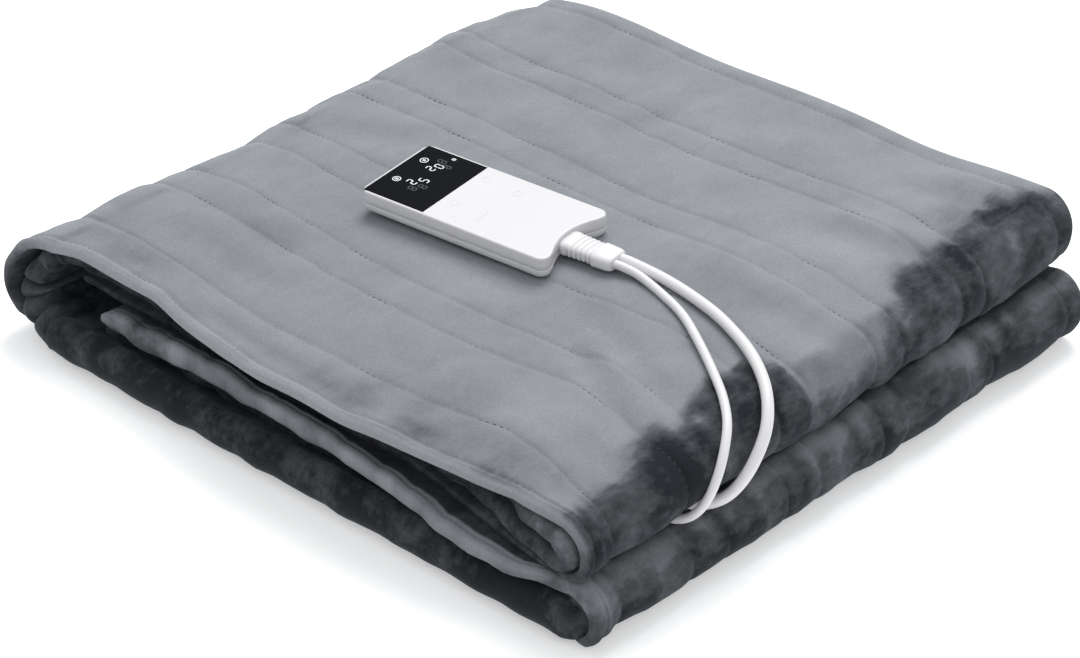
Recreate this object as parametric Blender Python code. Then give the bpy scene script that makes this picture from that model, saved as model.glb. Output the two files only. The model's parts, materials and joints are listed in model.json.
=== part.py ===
"""Electric heated blanket: a plush throw folded into a stack, with its controller and leads.

The throw is folded in thirds across its width, and that band of three plies is then folded
in quarters along its length. The controller lies on top. Its two leads run over the right
hand folds and into the crease between the upper and the lower half of the stack.

Lengths are in metres. Shapes are worked out from the stack's left front corner, and moved
at the end so that the middle of its underside is the origin.
"""
import math

import bmesh
import bpy
from mathutils import Matrix, Vector

# The folded stack
LENGTH = 0.436
WIDTH = 0.404
HEIGHT_LEFT_FRONT = 0.067
HEIGHT_RIGHT_FRONT = 0.069
HEIGHT_LEFT_BACK = 0.081
HEIGHT_RIGHT_BACK = 0.089
ORIGIN_FROM_CORNER = Vector((0.21795, 0.2020, 0.0))
AIR = 0.0003

# The band of three plies, and the four layers that it makes
PLY = 0.0044
PLY_GAP = 0.0009
BAND = 3 * PLY + 2 * PLY_GAP
LAYER_GAP = 0.002
PITCH = BAND + LAYER_GAP
STACK = 4 * PITCH - LAYER_GAP
INNER_EDGE_IN = 0.006
MIDDLE_PLY_END = 0.378
BAND_CHORDS = (0.02, 0.05, 0.085, 0.105, 0.125, 0.17, 0.24, 0.32)
INNER_CHORDS = (0.05, 0.095, 0.14, 0.24, 0.32)

# The fold at the left, and the two folds at the right
LEFT_FOLD_X = 0.033
LEFT_FOLD_BUNCH = 0.7
FOLD_STRETCH = 1.25
UPPER_FOLD_X = 0.4045
LOWER_FOLD_X = 0.4125
UPPER_END_X = 0.030
LOWER_END_X = 0.062

# How the stack departs from a plain block: x, y, reach along x, reach along y, rise
SAGS = (
    {"x": 0.365, "y": 0.000, "reach_x": 0.028, "reach_y": 0.030, "rise": -0.0045},
    {"x": 0.215, "y": 0.000, "reach_x": 0.060, "reach_y": 0.050, "rise": -0.0020},
    {"x": 0.110, "y": 0.120, "reach_x": 0.060, "reach_y": 0.050, "rise": 0.0015},
    {"x": 0.020, "y": 0.130, "reach_x": 0.030, "reach_y": 0.050, "rise": -0.0025},
    {"x": 0.020, "y": 0.330, "reach_x": 0.030, "reach_y": 0.040, "rise": 0.0025},
    {"x": 0.330, "y": 0.400, "reach_x": 0.040, "reach_y": 0.050, "rise": -0.0030},
)

# How far the folds stand out to the right, by place along the stack's depth
RIGHT_EDGE = (
    {"y": 0.000, "upper": -0.002, "lower": -0.004},
    {"y": 0.080, "upper": 0.000, "lower": -0.002},
    {"y": 0.200, "upper": 0.001, "lower": 0.001},
    {"y": 0.300, "upper": 0.002, "lower": 0.002},
    {"y": 0.404, "upper": -0.001, "lower": 0.0035},
)

# The room between the halves of the stack that the leads lie in
POCKET_RISE = 0.0032
POCKET_X = (0.295, 0.335)
POCKET_Y = (0.045, 0.070)
MOUTH_X = (0.395, 0.420)
MOUTH_Y = (0.120, 0.150)

# The controller
CASE_LENGTH = 0.125
CASE_WIDTH = 0.060
CASE_TOP = 0.0072
CASE_BASE = 0.0052
CASE_CORNER = 0.005
CASE_CENTRE = Vector((0.1935, 0.1755, 0.0769))
CASE_TURN = math.radians(6.5)
CASE_TILT = math.radians(2.4)
CASE_DIP = math.radians(0.4)
SCOOP_DEPTH = 0.007
SCOOP_WIDTH = 0.044
WINDOW_LENGTH = 0.041
WINDOW_WIDTH = 0.0565
WINDOW_THICK = 0.0012
WINDOW_IN = 0.0018

# The boot that both leads come out of, along the controller's length
BOOT_START = 0.0563
BOOT_ROWS = (
    {"along": 0.0000, "half_width": 0.0088, "half_height": 0.0042},
    {"along": 0.0080, "half_width": 0.0086, "half_height": 0.0042},
    {"along": 0.0240, "half_width": 0.0074, "half_height": 0.0040},
    {"along": 0.0330, "half_width": 0.0070, "half_height": 0.0038},
)
BOOT_LENGTH = 0.033
BOOT_RIBS = 5
RIB_PITCH = 0.0034
RIB_DEPTH = 0.0007

# The leads
MAINS_DIAMETER = 0.0062
SUPPLY_DIAMETER = 0.0048
LEAD_SPACING = 0.0059
SPACING_IN_DIAMETERS = 2.5

# Routes from the stack's left front corner, after the boot: x, y, z
MAINS_ROUTE = (
    (0.296, 0.1902, 0.0820), (0.312, 0.1905, 0.0812), (0.332, 0.1875, 0.0812),
    (0.356, 0.1810, 0.0816), (0.382, 0.1700, 0.0812), (0.402, 0.1575, 0.0806),
    (0.4170, 0.1450, 0.0778), (0.4268, 0.1330, 0.0705), (0.4300, 0.1225, 0.0605),
    (0.4292, 0.1135, 0.0505), (0.4250, 0.1060, 0.0425), (0.4170, 0.0995, 0.0378),
    (0.4065, 0.0950, 0.0364), (0.3940, 0.0930, 0.0366), (0.3805, 0.0966, 0.0371),
    (0.3706, 0.1065, 0.0375), (0.3670, 0.1200, 0.0377), (0.3655, 0.1370, 0.0380),
    (0.3628, 0.1600, 0.0384), (0.3585, 0.1900, 0.0390), (0.3550, 0.2300, 0.0398),
    (0.3530, 0.2800, 0.0409), (0.3530, 0.3300, 0.0420), (0.3560, 0.3720, 0.0428),
    (0.3580, 0.4000, 0.0427), (0.3565, 0.4200, 0.0390), (0.3510, 0.4400, 0.0270),
    (0.3400, 0.4590, 0.0135), (0.3260, 0.4715, 0.0068), (0.3165, 0.4765, 0.0054),
)
SUPPLY_ROUTE = (
    (0.298, 0.1843, 0.0812), (0.316, 0.1805, 0.0800), (0.338, 0.1725, 0.0797),
    (0.362, 0.1580, 0.0795), (0.3855, 0.1420, 0.0788), (0.403, 0.1285, 0.0784),
    (0.4165, 0.1155, 0.0756), (0.4252, 0.1025, 0.0680), (0.4282, 0.0935, 0.0580),
    (0.4270, 0.0875, 0.0485), (0.4222, 0.0835, 0.0412), (0.4140, 0.0808, 0.0372),
    (0.4020, 0.0795, 0.0360), (0.3850, 0.0795, 0.0362), (0.3670, 0.0810, 0.0366),
    (0.3500, 0.0840, 0.0370),
)

# The coil, its tie and the plug
COIL_CENTRE = Vector((0.290, 0.4445, 0.0))
COIL_RADIUS = 0.031
COIL_BOTTOM = 0.0019
TURNS_WIDE = 2
TURNS_HIGH = 3
TIE_WIDTH = 0.009
TIE_THICK = 0.0010
TIE_CLEAR = 0.0008
TIE_ANGLE = math.radians(250.0)
END_ROUTE = (
    (0.2630, 0.4752, 0.0140), (0.2540, 0.4745, 0.0100), (0.2440, 0.4718, 0.0074),
    (0.2340, 0.4680, 0.0069),
)
PLUG_ROWS = (
    {"along": 0.000, "half_width": 0.0042, "half_height": 0.0042},
    {"along": 0.014, "half_width": 0.0058, "half_height": 0.0050},
    {"along": 0.020, "half_width": 0.0105, "half_height": 0.0062},
    {"along": 0.030, "half_width": 0.0165, "half_height": 0.0068},
    {"along": 0.050, "half_width": 0.0176, "half_height": 0.0068},
)
PLUG_HALF_HEIGHT = 0.0068
PLUG_LENGTH = 0.050
PIN_RADIUS = 0.0020
PIN_LENGTH = 0.019
PIN_SPACING = 0.0186

MATERIALS = {
    "plush": {"color": (0.30, 0.315, 0.335, 1.0), "roughness": 0.95, "metallic": 0.0},
    "case": {"color": (0.90, 0.90, 0.91, 1.0), "roughness": 0.30, "metallic": 0.0},
    "window": {"color": (0.012, 0.013, 0.016, 1.0), "roughness": 0.12, "metallic": 0.0},
    "lead": {"color": (0.90, 0.89, 0.90, 1.0), "roughness": 0.45, "metallic": 0.0},
    "pin": {"color": (0.75, 0.74, 0.70, 1.0), "roughness": 0.25, "metallic": 1.0},
    "tie": {"color": (0.05, 0.05, 0.05, 1.0), "roughness": 0.60, "metallic": 0.0},
}


def clear_scene():
    """Remove every object, so that the script can be run again."""
    for item in list(bpy.data.objects):
        bpy.data.objects.remove(item, do_unlink=True)


def new_collection(name):
    """Make a collection in the scene."""
    collection = bpy.data.collections.new(name)
    bpy.context.scene.collection.children.link(collection)
    return collection


def material(name):
    """Return the named material, made from its row on first use."""
    found = bpy.data.materials.get(name)
    if found:
        return found
    row = MATERIALS[name]
    made = bpy.data.materials.new(name)
    made.use_nodes = True
    shader = made.node_tree.nodes["Principled BSDF"]
    shader.inputs["Base Color"].default_value = row["color"]
    shader.inputs["Roughness"].default_value = row["roughness"]
    shader.inputs["Metallic"].default_value = row["metallic"]
    made.diffuse_color = row["color"]
    return made


def add_object(name, data, finish, collection):
    """Link mesh or curve data as an object with its own material."""
    data.materials.append(material(finish))
    item = bpy.data.objects.new(name, data)
    collection.objects.link(item)
    return item


def mesh_object(name, bm, finish, collection, smooth_angle=40.0):
    """Turn a bmesh into an object whose faces point outwards."""
    bmesh.ops.recalc_face_normals(bm, faces=bm.faces)
    mesh = bpy.data.meshes.new(name)
    bm.to_mesh(mesh)
    bm.free()
    mesh.shade_smooth()
    mesh.set_sharp_from_angle(angle=math.radians(smooth_angle))
    return add_object(name, mesh, finish, collection)


def ramp(value, low, high):
    """Go smoothly from 0 at low to 1 at high."""
    t = min(max((value - low) / (high - low), 0.0), 1.0)
    return t * t * (3.0 - 2.0 * t)


def between(rows, key, column, value):
    """Read a column of a short table at any place along its key."""
    for low, high in zip(rows, rows[1:]):
        if value <= high[key]:
            t = min(max((value - low[key]) / (high[key] - low[key]), 0.0), 1.0)
            return low[column] + (high[column] - low[column]) * t
    return rows[-1][column]


def stack_height(x, y):
    """Height of the stack's top above the surface it rests on."""
    u = min(max(x / LENGTH, 0.0), 1.0)
    v = min(max(y / WIDTH, 0.0), 1.0)
    front = HEIGHT_LEFT_FRONT + (HEIGHT_RIGHT_FRONT - HEIGHT_LEFT_FRONT) * u
    back = HEIGHT_LEFT_BACK + (HEIGHT_RIGHT_BACK - HEIGHT_LEFT_BACK) * u
    height = front + (back - front) * v
    for sag in SAGS:
        away = ((x - sag["x"]) / sag["reach_x"]) ** 2 + ((y - sag["y"]) / sag["reach_y"]) ** 2
        height += sag["rise"] * math.exp(-away)
    return height


def settle(x, y, level):
    """Move a point of the evenly folded stack to where the soft stack puts it."""
    side = "upper" if level > STACK / 2 else "lower"
    out = between(RIGHT_EDGE, "y", side, y) * ramp(x, 0.25, LENGTH)
    squeeze = stack_height(x, y) / STACK
    rise = POCKET_RISE * ramp(y, *POCKET_Y) * ramp(x, *POCKET_X)
    rise *= 1.0 - ramp(x, *MOUTH_X) * ramp(y, *MOUTH_Y)
    from_middle = (level - STACK / 2) / (STACK / 2)
    lift = rise * (1.0 - abs(from_middle)) * (1.0 if from_middle > 0.0 else -1.0)
    return Vector((x + out, y, level * squeeze + lift))


def arc(centre_y, centre_n, radius, start, stop, steps):
    """Points of an arc in the band's own section, ends left out."""
    points = []
    for step in range(1, steps):
        angle = math.radians(start + (stop - start) * step / steps)
        points.append((centre_y + radius * math.cos(angle), centre_n + radius * math.sin(angle)))
    return points


def band_section():
    """Outline of the band: two outer plies joined at the back, the third tucked between."""
    half = BAND / 2
    under = half - PLY
    middle = PLY / 2
    turn = WIDTH - half
    nose = (half + middle) / 2
    nose_n = middle - nose
    nose_y = INNER_EDGE_IN + nose
    gap_n = -(under + middle) / 2
    points = [(0.0, under), (0.0, half)]
    points += [(y, half) for y in BAND_CHORDS] + [(turn, half)]
    points += arc(turn, 0.0, half, 90, -90, 6) + [(turn, -half)]
    points += [(y, -half) for y in reversed(INNER_CHORDS)] + [(nose_y, -half)]
    points += arc(nose_y, nose_n, nose, 270, 90, 5) + [(nose_y, middle)]
    points += [(y, middle) for y in INNER_CHORDS] + [(MIDDLE_PLY_END, middle)]
    points += [(MIDDLE_PLY_END, -middle)]
    points += [(y, -middle) for y in reversed(INNER_CHORDS)] + [(nose_y, gap_n + PLY_GAP / 2)]
    points += [(nose_y - PLY_GAP, gap_n), (nose_y, gap_n - PLY_GAP / 2)]
    points += [(y, -under) for y in INNER_CHORDS] + [(turn, -under)]
    points += arc(turn, 0.0, under, -90, 90, 4) + [(turn, under)]
    points += [(y, under) for y in reversed(BAND_CHORDS)]
    return points


def straight(level, start, stop, steps):
    """Stations along one layer: place, and the side that the outer ply faces."""
    facing = -1.0 if stop > start else 1.0
    stations = []
    for step in range(steps + 1):
        x = start + (stop - start) * step / steps
        stations.append({"x": x, "z": level, "out": (0.0, facing), "stretch": 1.0, "bunch": 0.0})
    return stations


def fold(centre_x, level, radius, start, stop, steps, stretch, bunch):
    """Stations round one fold, its end stations left to the layers that it joins."""
    stations = []
    for step in range(1, steps):
        angle = math.radians(start + (stop - start) * step / steps)
        out = (math.cos(angle), math.sin(angle))
        middle = math.sin(math.pi * step / steps)
        stations.append({
            "x": centre_x + radius * stretch * out[0], "z": level + radius * out[1],
            "out": out, "stretch": stretch, "bunch": bunch * middle,
        })
    return stations


def fold_stations():
    """The way of the band through the stack, from its upper end to its lower end."""
    layers = [BAND / 2 + PITCH * number for number in range(4)]
    tight = PITCH / 2
    wide = (layers[3] - layers[0]) / 2
    way = straight(layers[2], UPPER_END_X, UPPER_FOLD_X, 9)
    way += fold(UPPER_FOLD_X, layers[2] + tight, tight, -90, 90, 8, FOLD_STRETCH, 0.0)
    way += straight(layers[3], UPPER_FOLD_X, LEFT_FOLD_X, 10)
    way += fold(LEFT_FOLD_X, layers[0] + wide, wide, 90, 270, 12, 1.0, LEFT_FOLD_BUNCH)
    way += straight(layers[0], LEFT_FOLD_X, LOWER_FOLD_X, 9)
    way += fold(LOWER_FOLD_X, layers[0] + tight, tight, -90, 90, 8, FOLD_STRETCH, 0.0)
    way += straight(layers[1], LOWER_FOLD_X, LOWER_END_X, 8)
    return way


def blanket(collection):
    """The folded throw, as its band of plies drawn along the way of the folds."""
    section = band_section()
    bm = bmesh.new()
    rings = []
    for station in fold_stations():
        ring = []
        for y, n in section:
            if n < 0.0:
                n *= 1.0 + station["bunch"]
            x = station["x"] + station["out"][0] * station["stretch"] * n
            level = station["z"] + station["out"][1] * n
            ring.append(bm.verts.new(settle(x, y, level) - ORIGIN_FROM_CORNER))
        rings.append(ring)
    count = len(section)
    for near, far in zip(rings, rings[1:]):
        for index in range(count):
            after = (index + 1) % count
            bm.faces.new((near[index], near[after], far[after], far[index]))
    bm.faces.new(reversed(rings[0]))
    bm.faces.new(rings[-1])
    bmesh.ops.triangulate(bm, faces=bm.faces)
    return mesh_object("blanket", bm, "plush", collection)


def case_outline(shrink):
    """Plan of the controller: a rounded rectangle, scooped out where the leads leave."""
    half_length = CASE_LENGTH / 2 - shrink
    half_width = CASE_WIDTH / 2 - shrink
    corner = CASE_CORNER
    points = []
    for sign_x, sign_y, start in ((-1, 1, 90), (-1, -1, 180), (1, -1, 270)):
        points += corner_points(sign_x, sign_y, start, half_length, half_width, corner)
    for step in range(1, 12):
        t = step / 12
        y = SCOOP_WIDTH * (t - 0.5)
        points.append((half_length - SCOOP_DEPTH * math.sin(math.pi * t) ** 1.5, y))
    points += corner_points(1, 1, 0, half_length, half_width, corner)
    return points


def corner_points(sign_x, sign_y, start, half_length, half_width, corner):
    """One rounded corner of the case, counterclockwise."""
    points = []
    for step in range(5):
        angle = math.radians(start + 90 * step / 4)
        x = sign_x * (half_length - corner) + corner * math.cos(angle)
        y = sign_y * (half_width - corner) + corner * math.sin(angle)
        points.append((x, y))
    return points


def slab(outlines):
    """A closed solid through a few like outlines, each with its height."""
    bm = bmesh.new()
    rings = [[bm.verts.new((x, y, z)) for x, y in outline] for outline, z in outlines]
    for low, high in zip(rings, rings[1:]):
        for index in range(len(low)):
            after = (index + 1) % len(low)
            bm.faces.new((low[index], low[after], high[after], high[index]))
    bm.faces.new(reversed(rings[0]))
    bm.faces.new(rings[-1])
    return bm


def case_place():
    """Where the controller lies: origin in the middle of its underside, X towards the leads."""
    place = Matrix.Translation(CASE_CENTRE - ORIGIN_FROM_CORNER)
    place @= Matrix.Rotation(CASE_TURN, 4, "Z")
    place @= Matrix.Rotation(CASE_TILT, 4, "X")
    place @= Matrix.Rotation(CASE_DIP, 4, "Y")
    return place


def cut(item, cutter, collection):
    """Cut one object with another, which stays out of the model."""
    cutter.hide_render = True
    cutter.display_type = "WIRE"
    collection.objects.link(cutter)
    modifier = item.modifiers.new("cut", "BOOLEAN")
    modifier.object = cutter
    modifier.operation = "DIFFERENCE"
    modifier.solver = "EXACT"


def controller(collection, cutters):
    """The case's two halves and the window in its top."""
    place = case_place()
    full = case_outline(0.0)
    base = slab(((case_outline(0.0045), 0.0), (case_outline(0.0016), 0.0018), (full, CASE_BASE)))
    lower = mesh_object("controller_base", base, "case", collection)
    lower.matrix_world = place
    low = CASE_BASE + AIR
    high = low + CASE_TOP
    top = slab(((full, low), (full, high - 0.0010), (case_outline(0.0003), high - 0.0003),
                (case_outline(0.0010), high)))
    upper = mesh_object("controller_top", top, "case", collection)
    upper.matrix_world = place

    window_x = -CASE_LENGTH / 2 + WINDOW_IN + WINDOW_LENGTH / 2
    window_z = high - WINDOW_THICK / 2
    window = window_block("display_window", WINDOW_LENGTH, WINDOW_WIDTH, WINDOW_THICK)
    window.materials.append(material("window"))
    pane = bpy.data.objects.new("display_window", window)
    collection.objects.link(pane)
    pane.matrix_world = place @ Matrix.Translation((window_x, 0.0, window_z))
    recess = window_block("recess", WINDOW_LENGTH + 2 * AIR, WINDOW_WIDTH + 2 * AIR, 0.004)
    cutter = bpy.data.objects.new("window_recess", recess)
    recess_z = high - WINDOW_THICK - AIR + 0.002
    cutter.matrix_world = place @ Matrix.Translation((window_x, 0.0, recess_z))
    cut(upper, cutter, cutters)

    channel = window_block("channel", 0.040, 2 * BOOT_ROWS[0]["half_width"] + 2 * AIR, 0.030)
    for item, name in ((upper, "boot_seat_top"), (lower, "boot_seat_base")):
        seat = bpy.data.objects.new(name, channel)
        seat.matrix_world = place @ Matrix.Translation((BOOT_START - AIR + 0.020, 0.0, 0.005))
        cut(item, seat, cutters)


def window_block(name, length, width, thick):
    """A plain block centred on its own origin."""
    bm = bmesh.new()
    bmesh.ops.create_cube(bm, size=1.0)
    bmesh.ops.scale(bm, vec=(length, width, thick), verts=bm.verts)
    mesh = bpy.data.meshes.new(name)
    bm.to_mesh(mesh)
    bm.free()
    return mesh


def rounded_ring(along, half_width, half_height, points):
    """A ring of points of rounded oblong section, square to local X."""
    ring = []
    for step in range(points):
        angle = 2 * math.pi * (step + 0.5) / points
        c = math.cos(angle)
        s = math.sin(angle)
        y = half_width * math.copysign(abs(c) ** 0.6, c)
        z = half_height * math.copysign(abs(s) ** 0.6, s)
        ring.append((along, y, z))
    return ring


def moulded(name, rings, finish, collection):
    """A closed solid through a row of rings."""
    bm = bmesh.new()
    made = [[bm.verts.new(point) for point in ring] for ring in rings]
    for near, far in zip(made, made[1:]):
        for index in range(len(near)):
            after = (index + 1) % len(near)
            bm.faces.new((near[index], near[after], far[after], far[index]))
    bm.faces.new(reversed(made[0]))
    bm.faces.new(made[-1])
    return mesh_object(name, bm, finish, collection)


def boot_place():
    """Where the boot starts: on the case's middle line, X along the leads."""
    return case_place() @ Matrix.Translation((BOOT_START, 0.0, 0.0066))


def boot(collection):
    """The ribbed strain relief, a tapered block with ring grooves."""
    alongs = [0.0, 0.004, 0.008]
    first = 0.0095
    for rib in range(BOOT_RIBS):
        start = first + rib * RIB_PITCH
        alongs += [start, start + 0.0006, start + 0.0014, start + 0.0020]
    alongs += [0.029, BOOT_LENGTH]
    rings = []
    for along in alongs:
        width = between(BOOT_ROWS, "along", "half_width", along)
        height = between(BOOT_ROWS, "along", "half_height", along)
        if first <= along <= first + BOOT_RIBS * RIB_PITCH:
            phase = (along - first) % RIB_PITCH
            if 0.0003 < phase < 0.0017:
                width -= RIB_DEPTH
                height -= RIB_DEPTH
        rings.append(rounded_ring(along, width, height, 16))
    item = moulded("lead_boot", rings, "lead", collection)
    item.matrix_world = boot_place()


def smooth_route(points, spacing):
    """Read a smooth curve through the points at an even spacing."""
    vectors = [Vector(point) for point in points]
    padded = [2 * vectors[0] - vectors[1]] + vectors + [2 * vectors[-1] - vectors[-2]]
    fine = []
    for index in range(1, len(padded) - 2):
        a, b, c, d = padded[index - 1:index + 3]
        for step in range(20):
            t = step / 20
            fine.append(0.5 * (2 * b + (c - a) * t + (2 * a - 5 * b + 4 * c - d) * t * t
                               + (3 * b - a - 3 * c + d) * t ** 3))
    fine.append(vectors[-1])
    total = sum((b - a).length for a, b in zip(fine, fine[1:]))
    count = max(2, round(total / spacing))
    route = [fine[0]]
    walked = 0.0
    for a, b in zip(fine, fine[1:]):
        step = (b - a).length
        while len(route) < count and walked + step >= total * len(route) / count:
            t = (total * len(route) / count - walked) / step
            route.append(a + (b - a) * t)
        walked += step
    route.append(fine[-1])
    return route


def tube(name, points, diameter, collection):
    """A round lead with closed ends through the route's points."""
    curve = bpy.data.curves.new(name, "CURVE")
    curve.dimensions = "3D"
    curve.bevel_depth = diameter / 2
    curve.bevel_resolution = 2
    curve.use_fill_caps = True
    route = smooth_route(points, SPACING_IN_DIAMETERS * diameter)
    spline = curve.splines.new("POLY")
    spline.points.add(len(route) - 1)
    for slot, point in zip(spline.points, route):
        moved = point - ORIGIN_FROM_CORNER
        slot.co = (moved.x, moved.y, moved.z, 1.0)
    return add_object(name, curve, "lead", collection)


def leads(collection):
    """Both leads, each straight out of the boot and then along its own route."""
    end = boot_place()
    to_corner = Matrix.Translation(ORIGIN_FROM_CORNER)
    for name, diameter, side, route in (
            ("mains_lead", MAINS_DIAMETER, 1.0, MAINS_ROUTE),
            ("supply_lead", SUPPLY_DIAMETER, -1.0, SUPPLY_ROUTE)):
        across = side * LEAD_SPACING / 2
        exits = [to_corner @ end @ Vector((BOOT_LENGTH + AIR + out, across, 0.0))
                 for out in (0.0, 0.005)]
        tube(name, exits + list(route), diameter, collection)
    tube("mains_lead_end", END_ROUTE, MAINS_DIAMETER, collection)


def turned_ring(name, section, finish, collection, steps=48):
    """A ring turned round the coil's centre from a closed section of radius and height."""
    bm = bmesh.new()
    rings = []
    for step in range(steps):
        angle = 2 * math.pi * step / steps
        direction = Vector((math.cos(angle), math.sin(angle), 0.0))
        base = COIL_CENTRE - ORIGIN_FROM_CORNER
        rings.append([bm.verts.new(base + direction * r + Vector((0.0, 0.0, z)))
                      for r, z in section])
    join_loops(bm, rings)
    return mesh_object(name, bm, finish, collection)


def join_loops(bm, rings):
    """Faces between closed loops, the last joined to the first."""
    for near, far in zip(rings, rings[1:] + rings[:1]):
        for index in range(len(near)):
            after = (index + 1) % len(near)
            bm.faces.new((near[index], near[after], far[after], far[index]))


def coil_section(grow):
    """Rounded oblong section of the wound turns, grown by a margin."""
    half_width = TURNS_WIDE * MAINS_DIAMETER / 2 + grow
    half_height = TURNS_HIGH * MAINS_DIAMETER / 2 + grow
    corner = MAINS_DIAMETER / 2 + grow
    middle = COIL_BOTTOM + TURNS_HIGH * MAINS_DIAMETER / 2
    section = []
    for sign_r, sign_z, start in ((1, 1, 0), (-1, 1, 90), (-1, -1, 180), (1, -1, 270)):
        for step in range(4):
            angle = math.radians(start + 90 * step / 3)
            r = COIL_RADIUS + sign_r * (half_width - corner) + corner * math.cos(angle)
            z = middle + sign_z * (half_height - corner) + corner * math.sin(angle)
            section.append((r, z))
    return section


def coil(collection):
    """The wound length of the mains lead."""
    turned_ring("mains_coil", coil_section(0.0), "lead", collection)


def coil_tie(collection):
    """A flat band closed round the wound turns."""
    inner = coil_section(TIE_CLEAR)
    outer = coil_section(TIE_CLEAR + TIE_THICK)
    across = Vector((-math.sin(TIE_ANGLE), math.cos(TIE_ANGLE), 0.0)) * TIE_WIDTH / 2
    away = Vector((math.cos(TIE_ANGLE), math.sin(TIE_ANGLE), 0.0))
    base = COIL_CENTRE - ORIGIN_FROM_CORNER
    bm = bmesh.new()
    loops = []
    for section, side in ((inner, -1), (inner, 1), (outer, 1), (outer, -1)):
        loops.append([bm.verts.new(base + away * r + Vector((0.0, 0.0, z)) + across * side)
                      for r, z in section])
    join_loops(bm, loops)
    mesh_object("coil_tie", bm, "tie", collection)


def plug_place():
    """Where the plug lies: origin at the end of its tail, X towards its pins."""
    end = Vector(END_ROUTE[-1])
    back = Vector(END_ROUTE[-2])
    way = end - back
    way.z = 0.0
    start = end + way.normalized() * AIR
    start.z = PLUG_HALF_HEIGHT + AIR / 2
    turn = Matrix.Rotation(math.atan2(way.y, way.x), 4, "Z")
    return Matrix.Translation(start - ORIGIN_FROM_CORNER) @ turn


def plug(collection):
    """The flat plug and its two pins."""
    place = plug_place()
    rings = [rounded_ring(row["along"], row["half_width"], row["half_height"], 20)
             for row in PLUG_ROWS]
    body = moulded("plug_body", rings, "lead", collection)
    body.matrix_world = place
    for side, name in ((1, "plug_pin_left"), (-1, "plug_pin_right")):
        bm = bmesh.new()
        bmesh.ops.create_cone(bm, cap_ends=True, segments=16, radius1=PIN_RADIUS,
                              radius2=PIN_RADIUS, depth=PIN_LENGTH)
        pin = mesh_object(name, bm, "pin", collection)
        middle = Matrix.Translation((PLUG_LENGTH + AIR + PIN_LENGTH / 2, side * PIN_SPACING / 2, 0))
        pin.matrix_world = place @ middle @ Matrix.Rotation(math.pi / 2, 4, "Y")


def main():
    clear_scene()
    parts = new_collection("heated_blanket")
    cutters = new_collection("cutters")
    blanket(parts)
    controller(parts, cutters)
    boot(parts)
    leads(parts)
    coil(parts)
    coil_tie(parts)
    plug(parts)


main()
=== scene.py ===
"""Electric heated blanket: a plush throw folded into a stack, with its controller and leads.

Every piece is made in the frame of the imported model, in metres, with +Z up.
"""

import json
import math

import bmesh
import bpy
import numpy as np
from bpy.props import FloatProperty, FloatVectorProperty, PointerProperty
from mathutils import Matrix, Vector, noise

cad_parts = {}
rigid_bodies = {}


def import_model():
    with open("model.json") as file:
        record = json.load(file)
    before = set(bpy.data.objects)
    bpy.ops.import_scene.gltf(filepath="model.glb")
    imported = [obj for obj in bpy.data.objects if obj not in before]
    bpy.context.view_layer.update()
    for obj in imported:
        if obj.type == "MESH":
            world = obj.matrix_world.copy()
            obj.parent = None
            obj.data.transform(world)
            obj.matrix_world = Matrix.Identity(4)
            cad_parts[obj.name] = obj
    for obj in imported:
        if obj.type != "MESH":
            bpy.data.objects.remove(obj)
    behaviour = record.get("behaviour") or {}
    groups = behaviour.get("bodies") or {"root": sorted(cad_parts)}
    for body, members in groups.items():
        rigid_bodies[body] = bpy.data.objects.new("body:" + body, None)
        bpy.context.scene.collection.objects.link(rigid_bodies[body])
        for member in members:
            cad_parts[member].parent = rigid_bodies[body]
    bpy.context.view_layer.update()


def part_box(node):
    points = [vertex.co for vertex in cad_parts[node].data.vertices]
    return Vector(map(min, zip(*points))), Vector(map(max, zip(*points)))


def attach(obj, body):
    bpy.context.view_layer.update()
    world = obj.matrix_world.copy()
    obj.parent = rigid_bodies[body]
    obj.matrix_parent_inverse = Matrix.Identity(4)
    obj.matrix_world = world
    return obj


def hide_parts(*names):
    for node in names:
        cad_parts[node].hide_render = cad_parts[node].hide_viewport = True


bl_info = {
    "name": "Heated blanket",
    "version": (1, 0, 0),
    "blender": (4, 5, 0),
    "location": "View3D > Sidebar > Heated blanket",
    "description": "Makes a folded heated throw with its controller, leads and stage",
    "category": "Add Mesh",
}

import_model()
ROOT = "root"


def named(columns, *rows):
    """A short table: each row's values under the columns' names."""
    return tuple(dict(zip(columns.split(), row)) for row in rows)


BLANKET_LOW, BLANKET_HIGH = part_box("blanket")
CORNER = Vector((BLANKET_LOW[0], BLANKET_LOW[1], 0.0))
LENGTH = BLANKET_HIGH[0] - BLANKET_LOW[0]
WIDTH = BLANKET_HIGH[1] - BLANKET_LOW[1]

# The stack's height at its four corners
HEIGHTS = {"left_front": 0.067, "right_front": 0.069, "left_back": 0.081, "right_back": 0.089}

# The band of three plies, and the four layers that it makes
PLY = 0.0044
PLY_GAP = 0.0009
BAND = 3 * PLY + 2 * PLY_GAP
LAYER_GAP = 0.002
PITCH = BAND + LAYER_GAP
STACK = 4 * PITCH - LAYER_GAP
INNER_EDGE_IN = 0.006
MIDDLE_PLY_END = 0.378
HALF_BAND = BAND / 2
HALF_PLY = PLY / 2
NOSE = (HALF_BAND + HALF_PLY) / 2
NOSE_Y = INNER_EDGE_IN + NOSE
LEFT_FOLD_X = 0.033
LEFT_FOLD_BUNCH = 0.7
FOLD_STRETCH = 1.25
UNDER_FOLD_SQUARE = 0.72
UPPER_FOLD_X = 0.4045
LOWER_FOLD_X = 0.4125
UPPER_END_X = 0.030
LOWER_END_X = 0.062

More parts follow.
